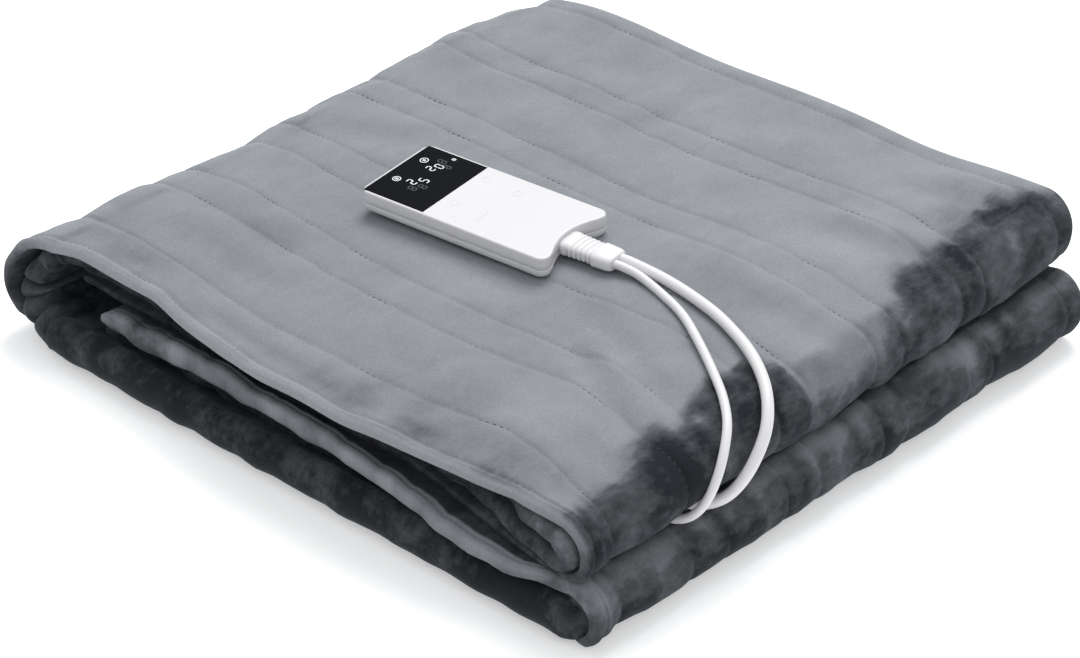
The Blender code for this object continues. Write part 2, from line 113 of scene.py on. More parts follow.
# Where the top sags or rises, as soft rounds
SAGS = named(
    "x y reach_x reach_y rise",
    (0.365, 0.000, 0.028, 0.030, -0.0045), (0.215, 0.000, 0.060, 0.050, -0.0020),
    (0.110, 0.120, 0.060, 0.050, 0.0015), (0.020, 0.130, 0.030, 0.050, -0.0025),
    (0.020, 0.330, 0.030, 0.040, 0.0025), (0.330, 0.400, 0.040, 0.050, -0.0030),
    (0.085, 0.404, 0.062, 0.060, 0.0048),
)
# How far the upper and lower folds stand out on the right
RIGHT_EDGE = named(
    "y upper lower",
    (0.000, -0.002, -0.004), (0.080, 0.000, -0.002), (0.200, 0.001, 0.001),
    (0.300, 0.002, 0.002), (0.404, -0.001, 0.0035),
)
# The layers part towards the right, but not behind the mouth where the leads go in
POCKET_RISE = 0.0032
POCKET_X = (0.295, 0.335)
POCKET_Y = (0.045, 0.070)
MOUTH_X = (0.395, 0.420)
MOUTH_Y = (0.120, 0.150)

# Channel seams, by their place across the stack
SEAM_ROWS = (0.037, 0.088, 0.113, 0.158, 0.183, 0.234, 0.256, 0.308, 0.328, 0.387)
HEM_ROW = 0.0064
SEAM_COLUMNS = (-0.0046, -0.0025, -0.0011, 0.0, 0.0011, 0.0025, 0.0046)

# How far the seams wander along the stack, near its front and near its back
WAVER = named(
    "x front back",
    (0.030, 0.003, 0.001), (0.060, 0.004, 0.000), (0.120, 0.000, -0.001),
    (0.170, -0.004, 0.000), (0.250, -0.002, -0.002), (0.290, 0.001, 0.000),
    (0.335, 0.008, 0.002), (0.365, 0.004, 0.001), (0.390, -0.003, -0.005),
    (0.415, -0.009, -0.010),
)

# The band's seven stretches, in their order along it
UNDER_TOP, UPPER_FOLD, TOP, LEFT_FOLD, BOTTOM, LOWER_FOLD, OVER_BOTTOM = range(7)
TURNS = (UPPER_FOLD, LEFT_FOLD, LOWER_FOLD)

# How far in the hemmed edge and the folded inner edge lie on each stretch, as pairs of a place
# and a distance. The place is X on a run, and the share of the turn on a fold.
HEM_IN = {
    UNDER_TOP: ((0.030, 0.026), (0.280, 0.026), (0.340, 0.018), (0.4045, 0.010)),
    UPPER_FOLD: ((0.0, 0.010), (0.5, 0.008), (1.0, 0.010)),
    TOP: ((0.033, 0.006), (0.046, 0.010), (0.110, 0.010), (0.133, 0.006), (0.175, 0.000),
          (0.208, -0.001), (0.267, 0.000), (0.305, 0.003), (0.350, 0.009), (0.372, 0.013),
          (0.4045, 0.010)),
    LEFT_FOLD: ((0.0, 0.005), (0.4, 0.000), (0.7, 0.004), (0.85, 0.014), (1.0, 0.016)),
    BOTTOM: ((0.033, 0.016), (0.400, 0.016), (0.4125, 0.014)),
    LOWER_FOLD: ((0.0, 0.014), (0.25, 0.008), (0.6, 0.009), (1.0, 0.009)),
    OVER_BOTTOM: ((0.062, 0.013), (0.100, 0.011), (0.150, 0.014), (0.250, 0.012), (0.295, 0.008),
                  (0.330, 0.002), (0.372, 0.002), (0.4125, 0.008)),
}
NOSE_IN = {
    UNDER_TOP: ((0.030, 0.020), (0.200, 0.028), (0.280, 0.024), (0.340, 0.014), (0.380, 0.006),
                (0.4045, 0.000)),
    UPPER_FOLD: ((0.0, -0.001), (0.5, 0.000), (1.0, -0.001)),
    TOP: ((0.033, 0.010), (0.110, 0.020), (0.200, 0.022), (0.300, 0.018), (0.350, 0.016),
          (0.380, 0.006), (0.4045, 0.000)),
    LEFT_FOLD: ((0.0, 0.008), (0.3, 0.003), (0.8, -0.002), (1.0, -0.004)),
    BOTTOM: ((0.033, -0.004), (0.110, -0.003), (0.200, -0.001), (0.300, 0.001), (0.400, 0.004),
             (0.4125, 0.004)),
    LOWER_FOLD: ((0.0, 0.004), (1.0, 0.008)),
    OVER_BOTTOM: ((0.062, 0.010), (0.250, 0.014), (0.330, 0.010), (0.4125, 0.008)),
}
# How far the hem is fattened upwards. A stretch that isn't named has none of it.
FAT_HEM = {
    TOP: ((0.033, 0.0012), (0.4045, 0.0008)),
    LEFT_FOLD: ((0.0, 0.0012), (0.5, 0.0), (1.0, 0.0)),
    LOWER_FOLD: ((0.0, 0.0), (1.0, 0.0015)),
    OVER_BOTTOM: ((0.062, 0.0010), (0.068, 0.0050), (0.080, 0.0072), (0.110, 0.0070),
                  (0.200, 0.0052), (0.300, 0.0038), (0.4125, 0.0015)),
}
# The lowest layer's folded edge is one fat roll at the front: how much of it there is
ROLL = {
    LEFT_FOLD: ((0.0, 0.0), (0.55, 0.0), (0.8, 0.7), (1.0, 0.95)),
    BOTTOM: ((0.033, 0.95), (0.050, 1.0), (0.395, 1.0), (0.4125, 0.9)),
    LOWER_FOLD: ((0.0, 0.9), (0.35, 0.25), (0.6, 0.0), (1.0, 0.0)),
}

# The leads: routes from the stack's left front corner
MAINS_DIAMETER = 0.0062
SUPPLY_DIAMETER = 0.0048
LEAD_SPACING = 0.0059
LEAD_STEP = 0.0022
MAINS_ROUTE = (
    (0.296, 0.1902, 0.0820), (0.312, 0.1905, 0.0812), (0.332, 0.1875, 0.0812),
    (0.356, 0.1810, 0.0816), (0.382, 0.1700, 0.0812), (0.402, 0.1575, 0.0806),
    (0.4170, 0.1450, 0.0778), (0.4268, 0.1330, 0.0705), (0.4300, 0.1225, 0.0605),
    (0.4292, 0.1135, 0.0505), (0.4250, 0.1060, 0.0425), (0.4170, 0.0995, 0.0378),
    (0.4065, 0.0950, 0.0364), (0.3940, 0.0930, 0.0366), (0.3805, 0.0966, 0.0371),
    (0.3706, 0.1065, 0.0375), (0.3670, 0.1200, 0.0377), (0.3655, 0.1370, 0.0380),
    (0.3628, 0.1600, 0.0384), (0.3585, 0.1900, 0.0390), (0.3550, 0.2300, 0.0398),
    (0.3530, 0.2800, 0.0409), (0.3530, 0.3300, 0.0420), (0.3560, 0.3720, 0.0428),
    (0.3580, 0.4000, 0.0427), (0.3565, 0.4200, 0.0390), (0.3510, 0.4400, 0.0270),
    (0.3400, 0.4590, 0.0135), (0.3260, 0.4715, 0.0068), (0.3165, 0.4765, 0.0054),
)
SUPPLY_ROUTE = (
    (0.298, 0.1843, 0.0812), (0.316, 0.1805, 0.0800), (0.338, 0.1725, 0.0797),
    (0.362, 0.1580, 0.0795), (0.3855, 0.1420, 0.0788), (0.403, 0.1285, 0.0784),
    (0.4165, 0.1155, 0.0756), (0.4252, 0.1025, 0.0680), (0.4282, 0.0935, 0.0580),
    (0.4270, 0.0875, 0.0485), (0.4222, 0.0835, 0.0412), (0.4140, 0.0808, 0.0372),
    (0.4020, 0.0795, 0.0360), (0.3850, 0.0795, 0.0362), (0.3670, 0.0810, 0.0366),
    (0.3500, 0.0840, 0.0370),
)
COIL_CENTRE = Vector((0.290, 0.4445, 0.0))
COIL_FLOOR = 0.0050
COIL_TURNS = named(
    "radius height",
    (0.0341, 0.0), (0.0279, 0.0), (0.0279, 0.0062), (0.0341, 0.0062), (0.0310, 0.0116),
)
COIL_STEPS = 36
COIL_STEP_OVER = 0.2
END_ROUTE = (
    (0.2630, 0.4752, 0.0140), (0.2540, 0.4745, 0.0100), (0.2440, 0.4718, 0.0074),
    (0.2340, 0.4680, 0.0069),
)

# The controller, in its own frame: middle of its underside, X towards the leads
CASE_CENTRE = Vector((0.1935, 0.1755, 0.0769))
CASE_TURN = math.radians(6.5)
CASE_TILT = math.radians(2.4)
CASE_DIP = math.radians(0.4)
BOOT_START = 0.0563
BOOT_HEIGHT = 0.0066
BOOT_LENGTH = 0.033
AIR = 0.0003


def ramp(value, low, high):
    """Go smoothly from 0 at low to 1 at high, for numbers and arrays alike."""
    t = np.clip((value - low) / (high - low), 0.0, 1.0)
    return t * t * (3.0 - 2.0 * t)


def case_place():
    """Where the controller lies."""
    place = Matrix.Translation(CASE_CENTRE + CORNER)
    place @= Matrix.Rotation(CASE_TURN, 4, "Z")
    place @= Matrix.Rotation(CASE_TILT, 4, "X")
    place @= Matrix.Rotation(CASE_DIP, 4, "Y")
    return place


def smooth_route(points, spacing):
    """Read a smooth curve through the points at an even spacing."""
    vectors = [Vector(point) for point in points]
    padded = [2 * vectors[0] - vectors[1]] + vectors + [2 * vectors[-1] - vectors[-2]]
    fine = []
    for index in range(1, len(padded) - 2):
        a, b, c, d = padded[index - 1:index + 3]
        for step in range(20):
            t = step / 20
            fine.append(0.5 * (2 * b + (c - a) * t + (2 * a - 5 * b + 4 * c - d) * t * t
                               + (3 * b - a - 3 * c + d) * t ** 3))
    fine.append(vectors[-1])
    total = sum((b - a).length for a, b in zip(fine, fine[1:]))
    count = max(2, round(total / spacing))
    route = [fine[0]]
    walked = 0.0
    for a, b in zip(fine, fine[1:]):
        step = (b - a).length
        while len(route) < count and walked + step >= total * len(route) / count:
            t = (total * len(route) / count - walked) / step
            route.append(a + (b - a) * t)
        walked += step
    route.append(fine[-1])
    return route


# ---------------------------------------------------------------- materials

def new_material(name, values):
    """A node material and its shader, with the values on the shader's own sockets."""
    made = bpy.data.materials.new(name)
    made.use_nodes = True
    shader = made.node_tree.nodes["Principled BSDF"]
    for key, value in values.items():
        shader.inputs[key].default_value = value
    return made, shader


def node(tree, kind, **values):
    """Add a node, set its properties, and set its inputs by name."""
    made = tree.nodes.new(kind)
    for key, value in values.items():
        if key in made.inputs:
            made.inputs[key].default_value = value
        else:
            setattr(made, key, value)
    return made


def new_group(name, kind, inputs, output):
    """A node group with named inputs, each with a type and a default, and one output."""
    tree = bpy.data.node_groups.new(name, kind)
    for label, form, value in inputs:
        socket = tree.interface.new_socket(label, in_out="INPUT", socket_type="NodeSocket" + form)
        if value is not None:
            socket.default_value = value
    label, form = output
    tree.interface.new_socket(label, in_out="OUTPUT", socket_type="NodeSocket" + form)
    return tree, tree.nodes.new("NodeGroupInput"), tree.nodes.new("NodeGroupOutput")


def grain_group():
    """Soft grain at one scale, as a mask around 0.5."""
    group = bpy.data.node_groups.get("soft_grain")
    if group:
        return group
    group, inside, out = new_group("soft_grain", "ShaderNodeTree", (
        ("Vector", "Vector", None), ("Scale", "Float", 100.0), ("Detail", "Float", 3.0)),
        ("Mask", "Float"))
    cloud = node(group, "ShaderNodeTexNoise", Roughness=0.6)
    for name in ("Vector", "Scale", "Detail"):
        group.links.new(inside.outputs[name], cloud.inputs[name])
    group.links.new(cloud.outputs["Fac"], out.inputs["Mask"])
    return group


def grain(tree, scale, detail, stretch=(1.0, 1.0, 1.0)):
    """Place the grain group on object coordinates, stretched if asked."""
    coords = node(tree, "ShaderNodeTexCoord")
    mapping = node(tree, "ShaderNodeMapping", Scale=stretch)
    made = node(tree, "ShaderNodeGroup", node_tree=grain_group())
    made.inputs["Scale"].default_value = scale
    made.inputs["Detail"].default_value = detail
    tree.links.new(coords.outputs["Object"], mapping.inputs["Vector"])
    tree.links.new(mapping.outputs["Vector"], made.inputs["Vector"])
    return made.outputs["Mask"]


def spread(tree, mask, to, start=(0.0, 1.0)):
    """Stretch a mask from one range of values to another."""
    made = node(tree, "ShaderNodeMapRange", **{"From Min": start[0], "From Max": start[1],
                                               "To Min": to[0], "To Max": to[1]})
    tree.links.new(mask, made.inputs["Value"])
    return made.outputs["Result"]


def maths(tree, operation, first, second, clamp=False):
    """Join two values that change over the surface."""
    made = node(tree, "ShaderNodeMath", operation=operation, use_clamp=clamp)
    tree.links.new(first, made.inputs[0])
    tree.links.new(second, made.inputs[1])
    return made.outputs["Value"]


def two_tone(tree, mask, shader, dark, light):
    """Colour a shader from dark to light as a mask rises."""
    tone = node(tree, "ShaderNodeMix", data_type="RGBA")
    tone.inputs["A"].default_value = (*dark, 1.0)
    tone.inputs["B"].default_value = (*light, 1.0)
    tree.links.new(mask, tone.inputs["Factor"])
    tree.links.new(tone.outputs["Result"], shader.inputs["Base Color"])


def relief(tree, height, shader, strength, distance):
    """Give a shader the fine relief of a mask."""
    bump = node(tree, "ShaderNodeBump", Strength=strength, Distance=distance)
    tree.links.new(height, bump.inputs["Height"])
    tree.links.new(bump.outputs["Normal"], shader.inputs["Normal"])


def plush_material(size):
    """Cut pile plush, toned from dark to light along a stored mask that is mostly painted light and
    painted shade, partly the pile's own lie.
    """
    made, shader = new_material("plush", {
        "Roughness": 0.95, "Specular IOR Level": 0.15, "Sheen Weight": 0.12,
        "Sheen Roughness": 0.45, "Sheen Tint": (0.8, 0.86, 0.95, 1.0)})
    tree = made.node_tree
    link = tree.links.new
    nap = node(tree, "ShaderNodeAttribute", attribute_name="nap").outputs["Fac"]
    brushed = grain(tree, 55.0, 4.0, (1.0, 0.55, 1.0))
    fibre = grain(tree, 900.0, 2.0)
    tufts = grain(tree, 210.0, 3.0, (1.0, 0.6, 1.0))
    both = node(tree, "ShaderNodeMix", data_type="FLOAT")
    both.inputs["Factor"].default_value = 0.42
    link(brushed, both.inputs["A"])
    link(tufts, both.inputs["B"])
    # The mottle is calm where the mask is painted light, and uneven where it is painted shade
    tufted = spread(tree, both.outputs["Result"], (-0.30, 0.30), (0.34, 0.66))
    unrest = spread(tree, nap, (0.85, 0.10), (0.30, 0.80))
    total = maths(tree, "ADD", nap, maths(tree, "MULTIPLY", tufted, unrest), clamp=True)
    # The ramp's ends: a near black painted shade, and the plush's tone with painted light in it
    dark, light = (*size.plush_painted_shade, 1.0), (*size.plush_painted_lit, 1.0)
    tone = node(tree, "ShaderNodeValToRGB")
    tone.color_ramp.elements[0].color = dark
    tone.color_ramp.elements[1].color = light
    middle = tone.color_ramp.elements.new(0.45)
    middle.color = tuple(0.78 * a + 0.22 * b for a, b in zip(dark, light))
    link(total, tone.inputs["Fac"])
    shade = node(tree, "ShaderNodeMix", data_type="RGBA", blend_type="MULTIPLY")
    shade.inputs["Factor"].default_value = 1.0
    link(tone.outputs["Color"], shade.inputs["A"])
    link(spread(tree, fibre, (0.90, 1.08), (0.3, 0.7)), shade.inputs["B"])
    link(shade.outputs["Result"], shader.inputs["Base Color"])
    relief(tree, fibre, shader, 0.5, 0.0006)
    return made


def plastic_material(name, color, roughness, grain_scale=700.0, depth=0.00002, uneven=0.05,
                     shine=0.5):
    """Moulded plastic with a faint skin texture and uneven gloss."""
    made, shader = new_material(name, {"Specular IOR Level": shine})
    tree = made.node_tree
    cloud = grain(tree, 30.0, 2.0)
    two_tone(tree, cloud, shader, [c * 0.97 for c in color], color)
    gloss = spread(tree, cloud, (max(roughness - uneven, 0.02), roughness + uneven))
    tree.links.new(gloss, shader.inputs["Roughness"])
    relief(tree, grain(tree, grain_scale, 2.0), shader, 0.3, depth)
    return made


def pin_material():
    """Bright plated metal with fine turning marks."""
    made, shader = new_material("plated_pin", {"Base Color": (0.76, 0.74, 0.69, 1.0),
                                               "Metallic": 1.0})
    tree = made.node_tree
    gloss = spread(tree, grain(tree, 900.0, 2.0, (0.2, 1.0, 1.0)), (0.18, 0.34))
    tree.links.new(gloss, shader.inputs["Roughness"])
    return made


def thread_material():
    """Dark sewing thread."""
    made, shader = new_material("thread", {"Roughness": 0.8})
    two_tone(made.node_tree, grain(made.node_tree, 2500.0, 2.0), shader,
             (0.028, 0.031, 0.036), (0.080, 0.086, 0.097))
    return made


def glow_material(name, color, strength):
    """A lit mark behind the window, or an unlit one with a faint painted glow, a little uneven."""
    made, shader = new_material(name, {"Base Color": (*color, 1.0), "Emission Color": (*color, 1.0)})
    tree = made.node_tree
    power = spread(tree, grain(tree, 600.0, 2.0), (strength * 0.5, strength))
    tree.links.new(power, shader.inputs["Emission Strength"])
    return made


def plastic(name, *values):
    """A plastic by its name, made on first use."""
    return bpy.data.materials.get(name) or plastic_material(name, *values)


def lead_plastic(size):
    """The white of the leads and the plug."""
    return plastic("lead_white", size.lead_color[:], 0.42)


# ---------------------------------------------------------------- shared mesh helpers

def add_piece(name, data, materials):
    """Link mesh or curve data as a piece at the origin."""
    for item in materials:
        data.materials.append(item)
    piece = bpy.data.objects.new(name, data)
    bpy.context.scene.collection.objects.link(piece)
    return piece


def mesh_from_bmesh(name, bm, place=None, smooth=True):
    """Close a bmesh as a mesh, put in its place, with its normals outwards."""
    bmesh.ops.recalc_face_normals(bm, faces=bm.faces)
    if place is not None:
        bmesh.ops.transform(bm, matrix=place, verts=bm.verts)
    mesh = bpy.data.meshes.new(name)
    bm.to_mesh(mesh)
    bm.free()
    if smooth:
        mesh.shade_smooth()
    return mesh


def join_rings(bm, rings, closed=False, caps=True):
    """Faces between rings of as many points, with flat ends or closed on itself."""
    made = [[bm.verts.new(point) for point in ring] for ring in rings]
    follow = made[1:] + made[:1] if closed else made[1:]
    for near, far in zip(made, follow):
        for index in range(len(near)):
            after = (index + 1) % len(near)
            bm.faces.new((near[index], near[after], far[after], far[index]))
    if caps and not closed:
        bm.faces.new(list(reversed(made[0])))
        bm.faces.new(made[-1])
    return made


def baked(piece):
    """Turn what an object's modifiers make into its own plain mesh."""
    view = bpy.context.evaluated_depsgraph_get()
    mesh = bpy.data.meshes.new_from_object(piece.evaluated_get(view))
    name = piece.name
    collection = piece.users_collection[0]
    bpy.data.objects.remove(piece, do_unlink=True)
    mesh.name = name
    made = bpy.data.objects.new(name, mesh)
    collection.objects.link(made)
    return made


# ---------------------------------------------------------------- leads

def boot_exits(side):
    """Where a lead leaves the boot, just before and just after, on one side of its middle."""
    place = case_place()
    return [place @ Vector((BOOT_START + BOOT_LENGTH + AIR + out, side * LEAD_SPACING / 2,
                            BOOT_HEIGHT)) for out in (-0.004, 0.0, 0.005)]


def in_frame(route):
    """A route from the stack's corner, in the frame of the model."""
    return [Vector(point) + CORNER for point in route]


def mains_path():
    """The mains lead's whole way: controller, crease, round the stack, coil and plug."""
    exits = boot_exits(1)
    points = exits + in_frame(MAINS_ROUTE)
    centre = COIL_CENTRE + CORNER
    for number, row in enumerate(COIL_TURNS):
        before = COIL_TURNS[max(number - 1, 0)]
        for step in range(COIL_STEPS):
            angle = math.pi / 2 + 2 * math.pi * step / COIL_STEPS
            share = float(ramp(step / COIL_STEPS, 0.0, COIL_STEP_OVER))
            radius = before["radius"] + (row["radius"] - before["radius"]) * share
            height = before["height"] + (row["height"] - before["height"]) * share
            points.append(centre + Vector((radius * math.cos(angle), radius * math.sin(angle),
                                           COIL_FLOOR + height)))
    last = COIL_TURNS[-1]
    for out in (0.0, -0.014):
        points.append(centre + Vector((out, last["radius"], COIL_FLOOR + last["height"])))
    return points + in_frame(END_ROUTE), exits[1]


def supply_path():
    """The low voltage lead's way: controller to crease, and on to the cloth."""
    exits = boot_exits(-1)
    return exits + in_frame(SUPPLY_ROUTE), exits[1]


def lead(name, points, diameter, size):
    """A round lead as one open curve."""
    route = smooth_route(points, LEAD_STEP)
    curve = bpy.data.curves.new(name, "CURVE")
    curve.dimensions = "3D"
    curve.bevel_depth = diameter / 2
    curve.bevel_resolution = 5
    curve.use_fill_caps = True
    spline = curve.splines.new("POLY")
    spline.points.add(len(route) - 1)
    for knot, point in zip(spline.points, route):
        knot.co = (*point, 1.0)
    spline.use_smooth = True
    length = sum((b - a).length for a, b in zip(route, route[1:]))
    return add_piece(name, curve, [lead_plastic(size)]), length


# ---------------------------------------------------------------- the cloth

def gentle(a, b, reach, seed):
    """Smooth random swell from -1 to 1 over two coordinates."""
    draw = np.random.RandomState(seed)
    total = np.zeros(np.broadcast(a, b).shape)
    for _ in range(7):
        angle = draw.uniform(0, 2 * math.pi)
        wave = reach * draw.uniform(0.7, 1.6)
        phase = draw.uniform(0, 2 * math.pi)
        along_wave = a * math.cos(angle) + b * math.sin(angle)
        total = total + np.sin(along_wave / wave * 2 * math.pi + phase)
    return total / 3.7


def table_read(rows, key, column, value):
    """Read a column of a short table at any place along its key."""
    return np.interp(value, [row[key] for row in rows], [row[column] for row in rows])


def stack_height(x, y):
    """Height of the stack's top above the surface it rests on."""
    u = np.clip(x / LENGTH, 0.0, 1.0)
    v = np.clip(y / WIDTH, 0.0, 1.0)
    front = HEIGHTS["left_front"] + (HEIGHTS["right_front"] - HEIGHTS["left_front"]) * u
    back = HEIGHTS["left_back"] + (HEIGHTS["right_back"] - HEIGHTS["left_back"]) * u
    height = front + (back - front) * v
    for sag in SAGS:
        away = ((x - sag["x"]) / sag["reach_x"]) ** 2 + ((y - sag["y"]) / sag["reach_y"]) ** 2
        height = height + sag["rise"] * np.exp(-away)
    return height


def settle(x, y, level):
    """Move points of the evenly folded stack to where the soft stack puts them."""
    upper = table_read(RIGHT_EDGE, "y", "upper", y)
    lower = table_read(RIGHT_EDGE, "y", "lower", y)
    out = np.where(level > STACK / 2, upper, lower) * ramp(x, 0.25, LENGTH)
    squeeze = stack_height(x, y) / STACK
    rise = POCKET_RISE * ramp(y, *POCKET_Y) * ramp(x, *POCKET_X)
    rise = rise * (1.0 - ramp(x, *MOUTH_X) * ramp(y, *MOUTH_Y))
    from_middle = (level - STACK / 2) / (STACK / 2)
    lift = rise * (1.0 - np.abs(from_middle)) * np.sign(from_middle)
    return np.stack([x + out, y, level * squeeze + lift], axis=-1)


def fold_way():
    """The band's way through the stack as arrays, from its upper end to its lower end."""
    layers = [BAND / 2 + PITCH * number for number in range(4)]
    rows = []

    def run(zone, level, start, stop, pitch):
        facing = -1.0 if stop > start else 1.0
        count = max(2, round(abs(stop - start) / pitch))
        for step in range(count + 1):
            x = start + (stop - start) * step / count
            rows.append((x, level, 0.0, facing, 1.0, 0.0, zone, 0.0))

    def turn(zone, centre, level, radius, start, stop, steps, stretch, bunch):
        for step in range(1, steps):
            angle = math.radians(start + (stop - start) * step / steps)
            reach = math.cos(angle)
            if zone == UPPER_FOLD and angle < 0.0:
                reach = reach ** UNDER_FOLD_SQUARE
            rows.append((centre + radius * stretch * reach, level + radius * math.sin(angle),
                         reach, math.sin(angle), stretch,
                         bunch * math.sin(math.pi * step / steps), zone, step / steps))

    tight = PITCH / 2
    wide = (layers[3] - layers[0]) / 2
    run(UNDER_TOP, layers[2], UPPER_END_X, UPPER_FOLD_X, 0.0085)
    turn(UPPER_FOLD, UPPER_FOLD_X, layers[2] + tight, tight, -90, 90, 26, FOLD_STRETCH, 0.0)
    run(TOP, layers[3], UPPER_FOLD_X, LEFT_FOLD_X, 0.0036)
    turn(LEFT_FOLD, LEFT_FOLD_X, layers[0] + wide, wide, 90, 270, 64, 1.0, LEFT_FOLD_BUNCH)
    run(BOTTOM, layers[0], LEFT_FOLD_X, LOWER_FOLD_X, 0.0055)
    turn(LOWER_FOLD, LOWER_FOLD_X, layers[0] + tight, tight, -90, 90, 26, FOLD_STRETCH, 0.0)
    run(OVER_BOTTOM, layers[1], LOWER_FOLD_X, LOWER_END_X, 0.0058)
    names = ("x", "z", "out_x", "out_z", "stretch", "bunch", "zone", "turned")
    way = {name: np.array([row[i] for row in rows], float) for i, name in enumerate(names)}
    steps = np.hypot(np.diff(way["x"]), np.diff(way["z"]))
    way["s"] = np.concatenate([[0.0], np.cumsum(steps)])
    return way


def along(way, tables):
    """Read a table of each stretch along the band's way, as a column."""
    values = np.zeros_like(way["x"])
    for zone, pairs in tables.items():
        here = way["zone"] == zone
        places = way["turned"] if zone in TURNS else way["x"]
        values[here] = np.interp(places[here], [p[0] for p in pairs], [p[1] for p in pairs])
    return values[:, None]


def outer_columns():
    """Places across the outer ply: close together at the hem and at each seam."""
    places = [0.0009, 0.0021, 0.0036, 0.0050, HEM_ROW, 0.0074, 0.0090, 0.0112]
    for row in SEAM_ROWS:
        places += [row + step for step in SEAM_COLUMNS]
    last = WIDTH - BAND / 2
    gaps = [0.0155, 0.0215, 0.0285, 0.035] + list(np.arange(0.050, last, 0.0075))
    for place in gaps:
        if all(abs(place - row) > 0.0075 for row in SEAM_ROWS) and place < last - 0.003:
            places.append(place)
    return sorted(p for p in places if p < last - 0.001)


def arc(centre_y, centre_n, radius, start, stop, steps):
    """Points of an arc in the band's section, ends left out."""
    angles = [math.radians(start + (stop - start) * step / steps) for step in range(1, steps)]
    return [(centre_y + radius * math.cos(a), centre_n + radius * math.sin(a)) for a in angles]


def band_section():
    """Outline of the band, as places across it, heights and the name of each part: two outer
    plies joined at the back, and the third tucked between them."""
    under = HALF_BAND - PLY
    turn = WIDTH - HALF_BAND
    nose_n = HALF_PLY - NOSE
    gap_n = -(under + HALF_PLY) / 2
    inner = [0.018, 0.026, 0.04, 0.06, 0.09, 0.13, 0.18, 0.24, 0.30, 0.35]
    outer = outer_columns()
    columns = []

    def add(kind, points):
        columns.extend((y, n, kind) for y, n in points)

    add("hem_rim", [(HALF_PLY, under)] + arc(HALF_PLY, under + HALF_PLY, HALF_PLY, 270, 90, 6))
    add("outer_face", [(y, HALF_BAND) for y in outer if y > HALF_PLY] + [(turn, HALF_BAND)])
    add("back_fold", arc(turn, 0.0, HALF_BAND, 90, -90, 12) + [(turn, -HALF_BAND)])
    add("inner_face", [(y, -HALF_BAND) for y in reversed(inner)] + [(NOSE_Y, -HALF_BAND)])
    add("nose", arc(NOSE_Y, nose_n, NOSE, 270, 90, 9) + [(NOSE_Y, HALF_PLY)])
    add("middle", [(y, HALF_PLY) for y in inner])
    add("middle", [(MIDDLE_PLY_END, HALF_PLY), (MIDDLE_PLY_END + 0.002, 0.0),
                   (MIDDLE_PLY_END, -HALF_PLY)])
    add("middle", [(y, -HALF_PLY) for y in reversed(inner)])
    add("nose_gap", [(NOSE_Y, gap_n + PLY_GAP / 2), (NOSE_Y - PLY_GAP, gap_n),
                     (NOSE_Y, gap_n - PLY_GAP / 2)])
    add("inner_back", [(y, -under) for y in inner] + [(turn, -under)])
    add("back_gap", arc(turn, 0.0, under, -90, 90, 5) + [(turn, under)])
    add("outer_back", [(y, under) for y in reversed(inner)] + [(0.0112, under), (HEM_ROW, under)])
    return columns


def seam_dip(y):
    """How deep the channel seams draw the pile in, from 0 to 1."""
    dip = np.zeros_like(y)
    for row in SEAM_ROWS:
        dip = np.maximum(dip, np.exp(-((y - row) / 0.0017) ** 2) * 0.7
                         + np.exp(-((y - row) / 0.0080) ** 2) * 0.3)
    return dip


def section_normals(columns):
    """Outward direction of each point of the section."""
    points = np.array([(y, n) for y, n, _ in columns])
    ahead = np.roll(points, -1, axis=0) - np.roll(points, 1, axis=0)
    normal = np.stack([-ahead[:, 1], ahead[:, 0]], axis=1)
    normal /= np.maximum(np.linalg.norm(normal, axis=1, keepdims=True), 1e-9)
    return normal


# Soft creases of the upper face, each from one place to another
RIDGE_SHARE = 0.6
CREASES = named(
    "x y end_x end_y reach depth",
    (0.300, 0.125, 0.405, 0.075, 0.0060, 0.0022),
    (0.285, 0.150, 0.390, 0.112, 0.0070, 0.0016),
    (0.345, 0.062, 0.418, 0.048, 0.0060, 0.0018),
    (0.310, 0.215, 0.418, 0.205, 0.0080, 0.0016),
    (0.330, 0.290, 0.420, 0.298, 0.0080, 0.0020),
    (0.340, 0.352, 0.418, 0.372, 0.0080, 0.0024),
    (0.060, 0.100, 0.150, 0.075, 0.0100, 0.0012),
    (0.050, 0.060, 0.170, 0.058, 0.0090, 0.0012),
    (0.190, 0.300, 0.190, 0.385, 0.0100, 0.0010),
    (0.120, 0.260, 0.230, 0.240, 0.0100, 0.0010),
    (0.030, 0.190, 0.110, 0.215, 0.0100, 0.0010),
)


def crease_depth(x, y):
    """Sum of the soft troughs that the cloth is creased into, each beside a low ridge."""
    total = np.zeros_like(x)
    for row in CREASES:
        along = np.array([row["end_x"] - row["x"], row["end_y"] - row["y"]])
        length = np.hypot(*along)
        along = along / length
        dx = x - row["x"]
        dy = y - row["y"]
        t = (dx * along[0] + dy * along[1]) / length
        away = (-dx * along[1] + dy * along[0]) / row["reach"]
        fade = ramp(t, -0.15, 0.25) * (1.0 - ramp(t, 0.75, 1.15))
        trough = np.exp(-away ** 2) - RIDGE_SHARE * np.exp(-(away - 2.0) ** 2)
        total = total + row["depth"] * fade * trough
    return total


def cuff_pleats(turned):
    """Radial pleats inside the left fold: 1 on a pleat, 0 in the gap beside it."""
    return np.abs(np.sin(turned * math.pi * 6.0 + 0.5 + 0.25 * np.sin(turned * 9.0))) ** 0.6


# How far the cloth is moved by what is sewn, bunched and pressed into it
WANDER = 0.0010
POST_RISE = 0.0060
FRONT_SWELL = 0.0045
RIM_RISE = 0.0007
RIM_HOLLOW = 0.0006
HEM_LINE_DIP = 0.0005
HEM_END = 0.016
UNDER_HEM_SHARE = 0.45
ROLL_PUFF = 0.0090
ROLL_LIFT = 0.0046
ROLL_REACH = 1.45
PLEAT_IN = 0.0062
PLEAT_UP = 0.0022
LEFT_BULGE = 0.0085
CORNER_MOVE = (0.0190, -0.0050, -0.0010)
TOP_SWELL = 0.0010


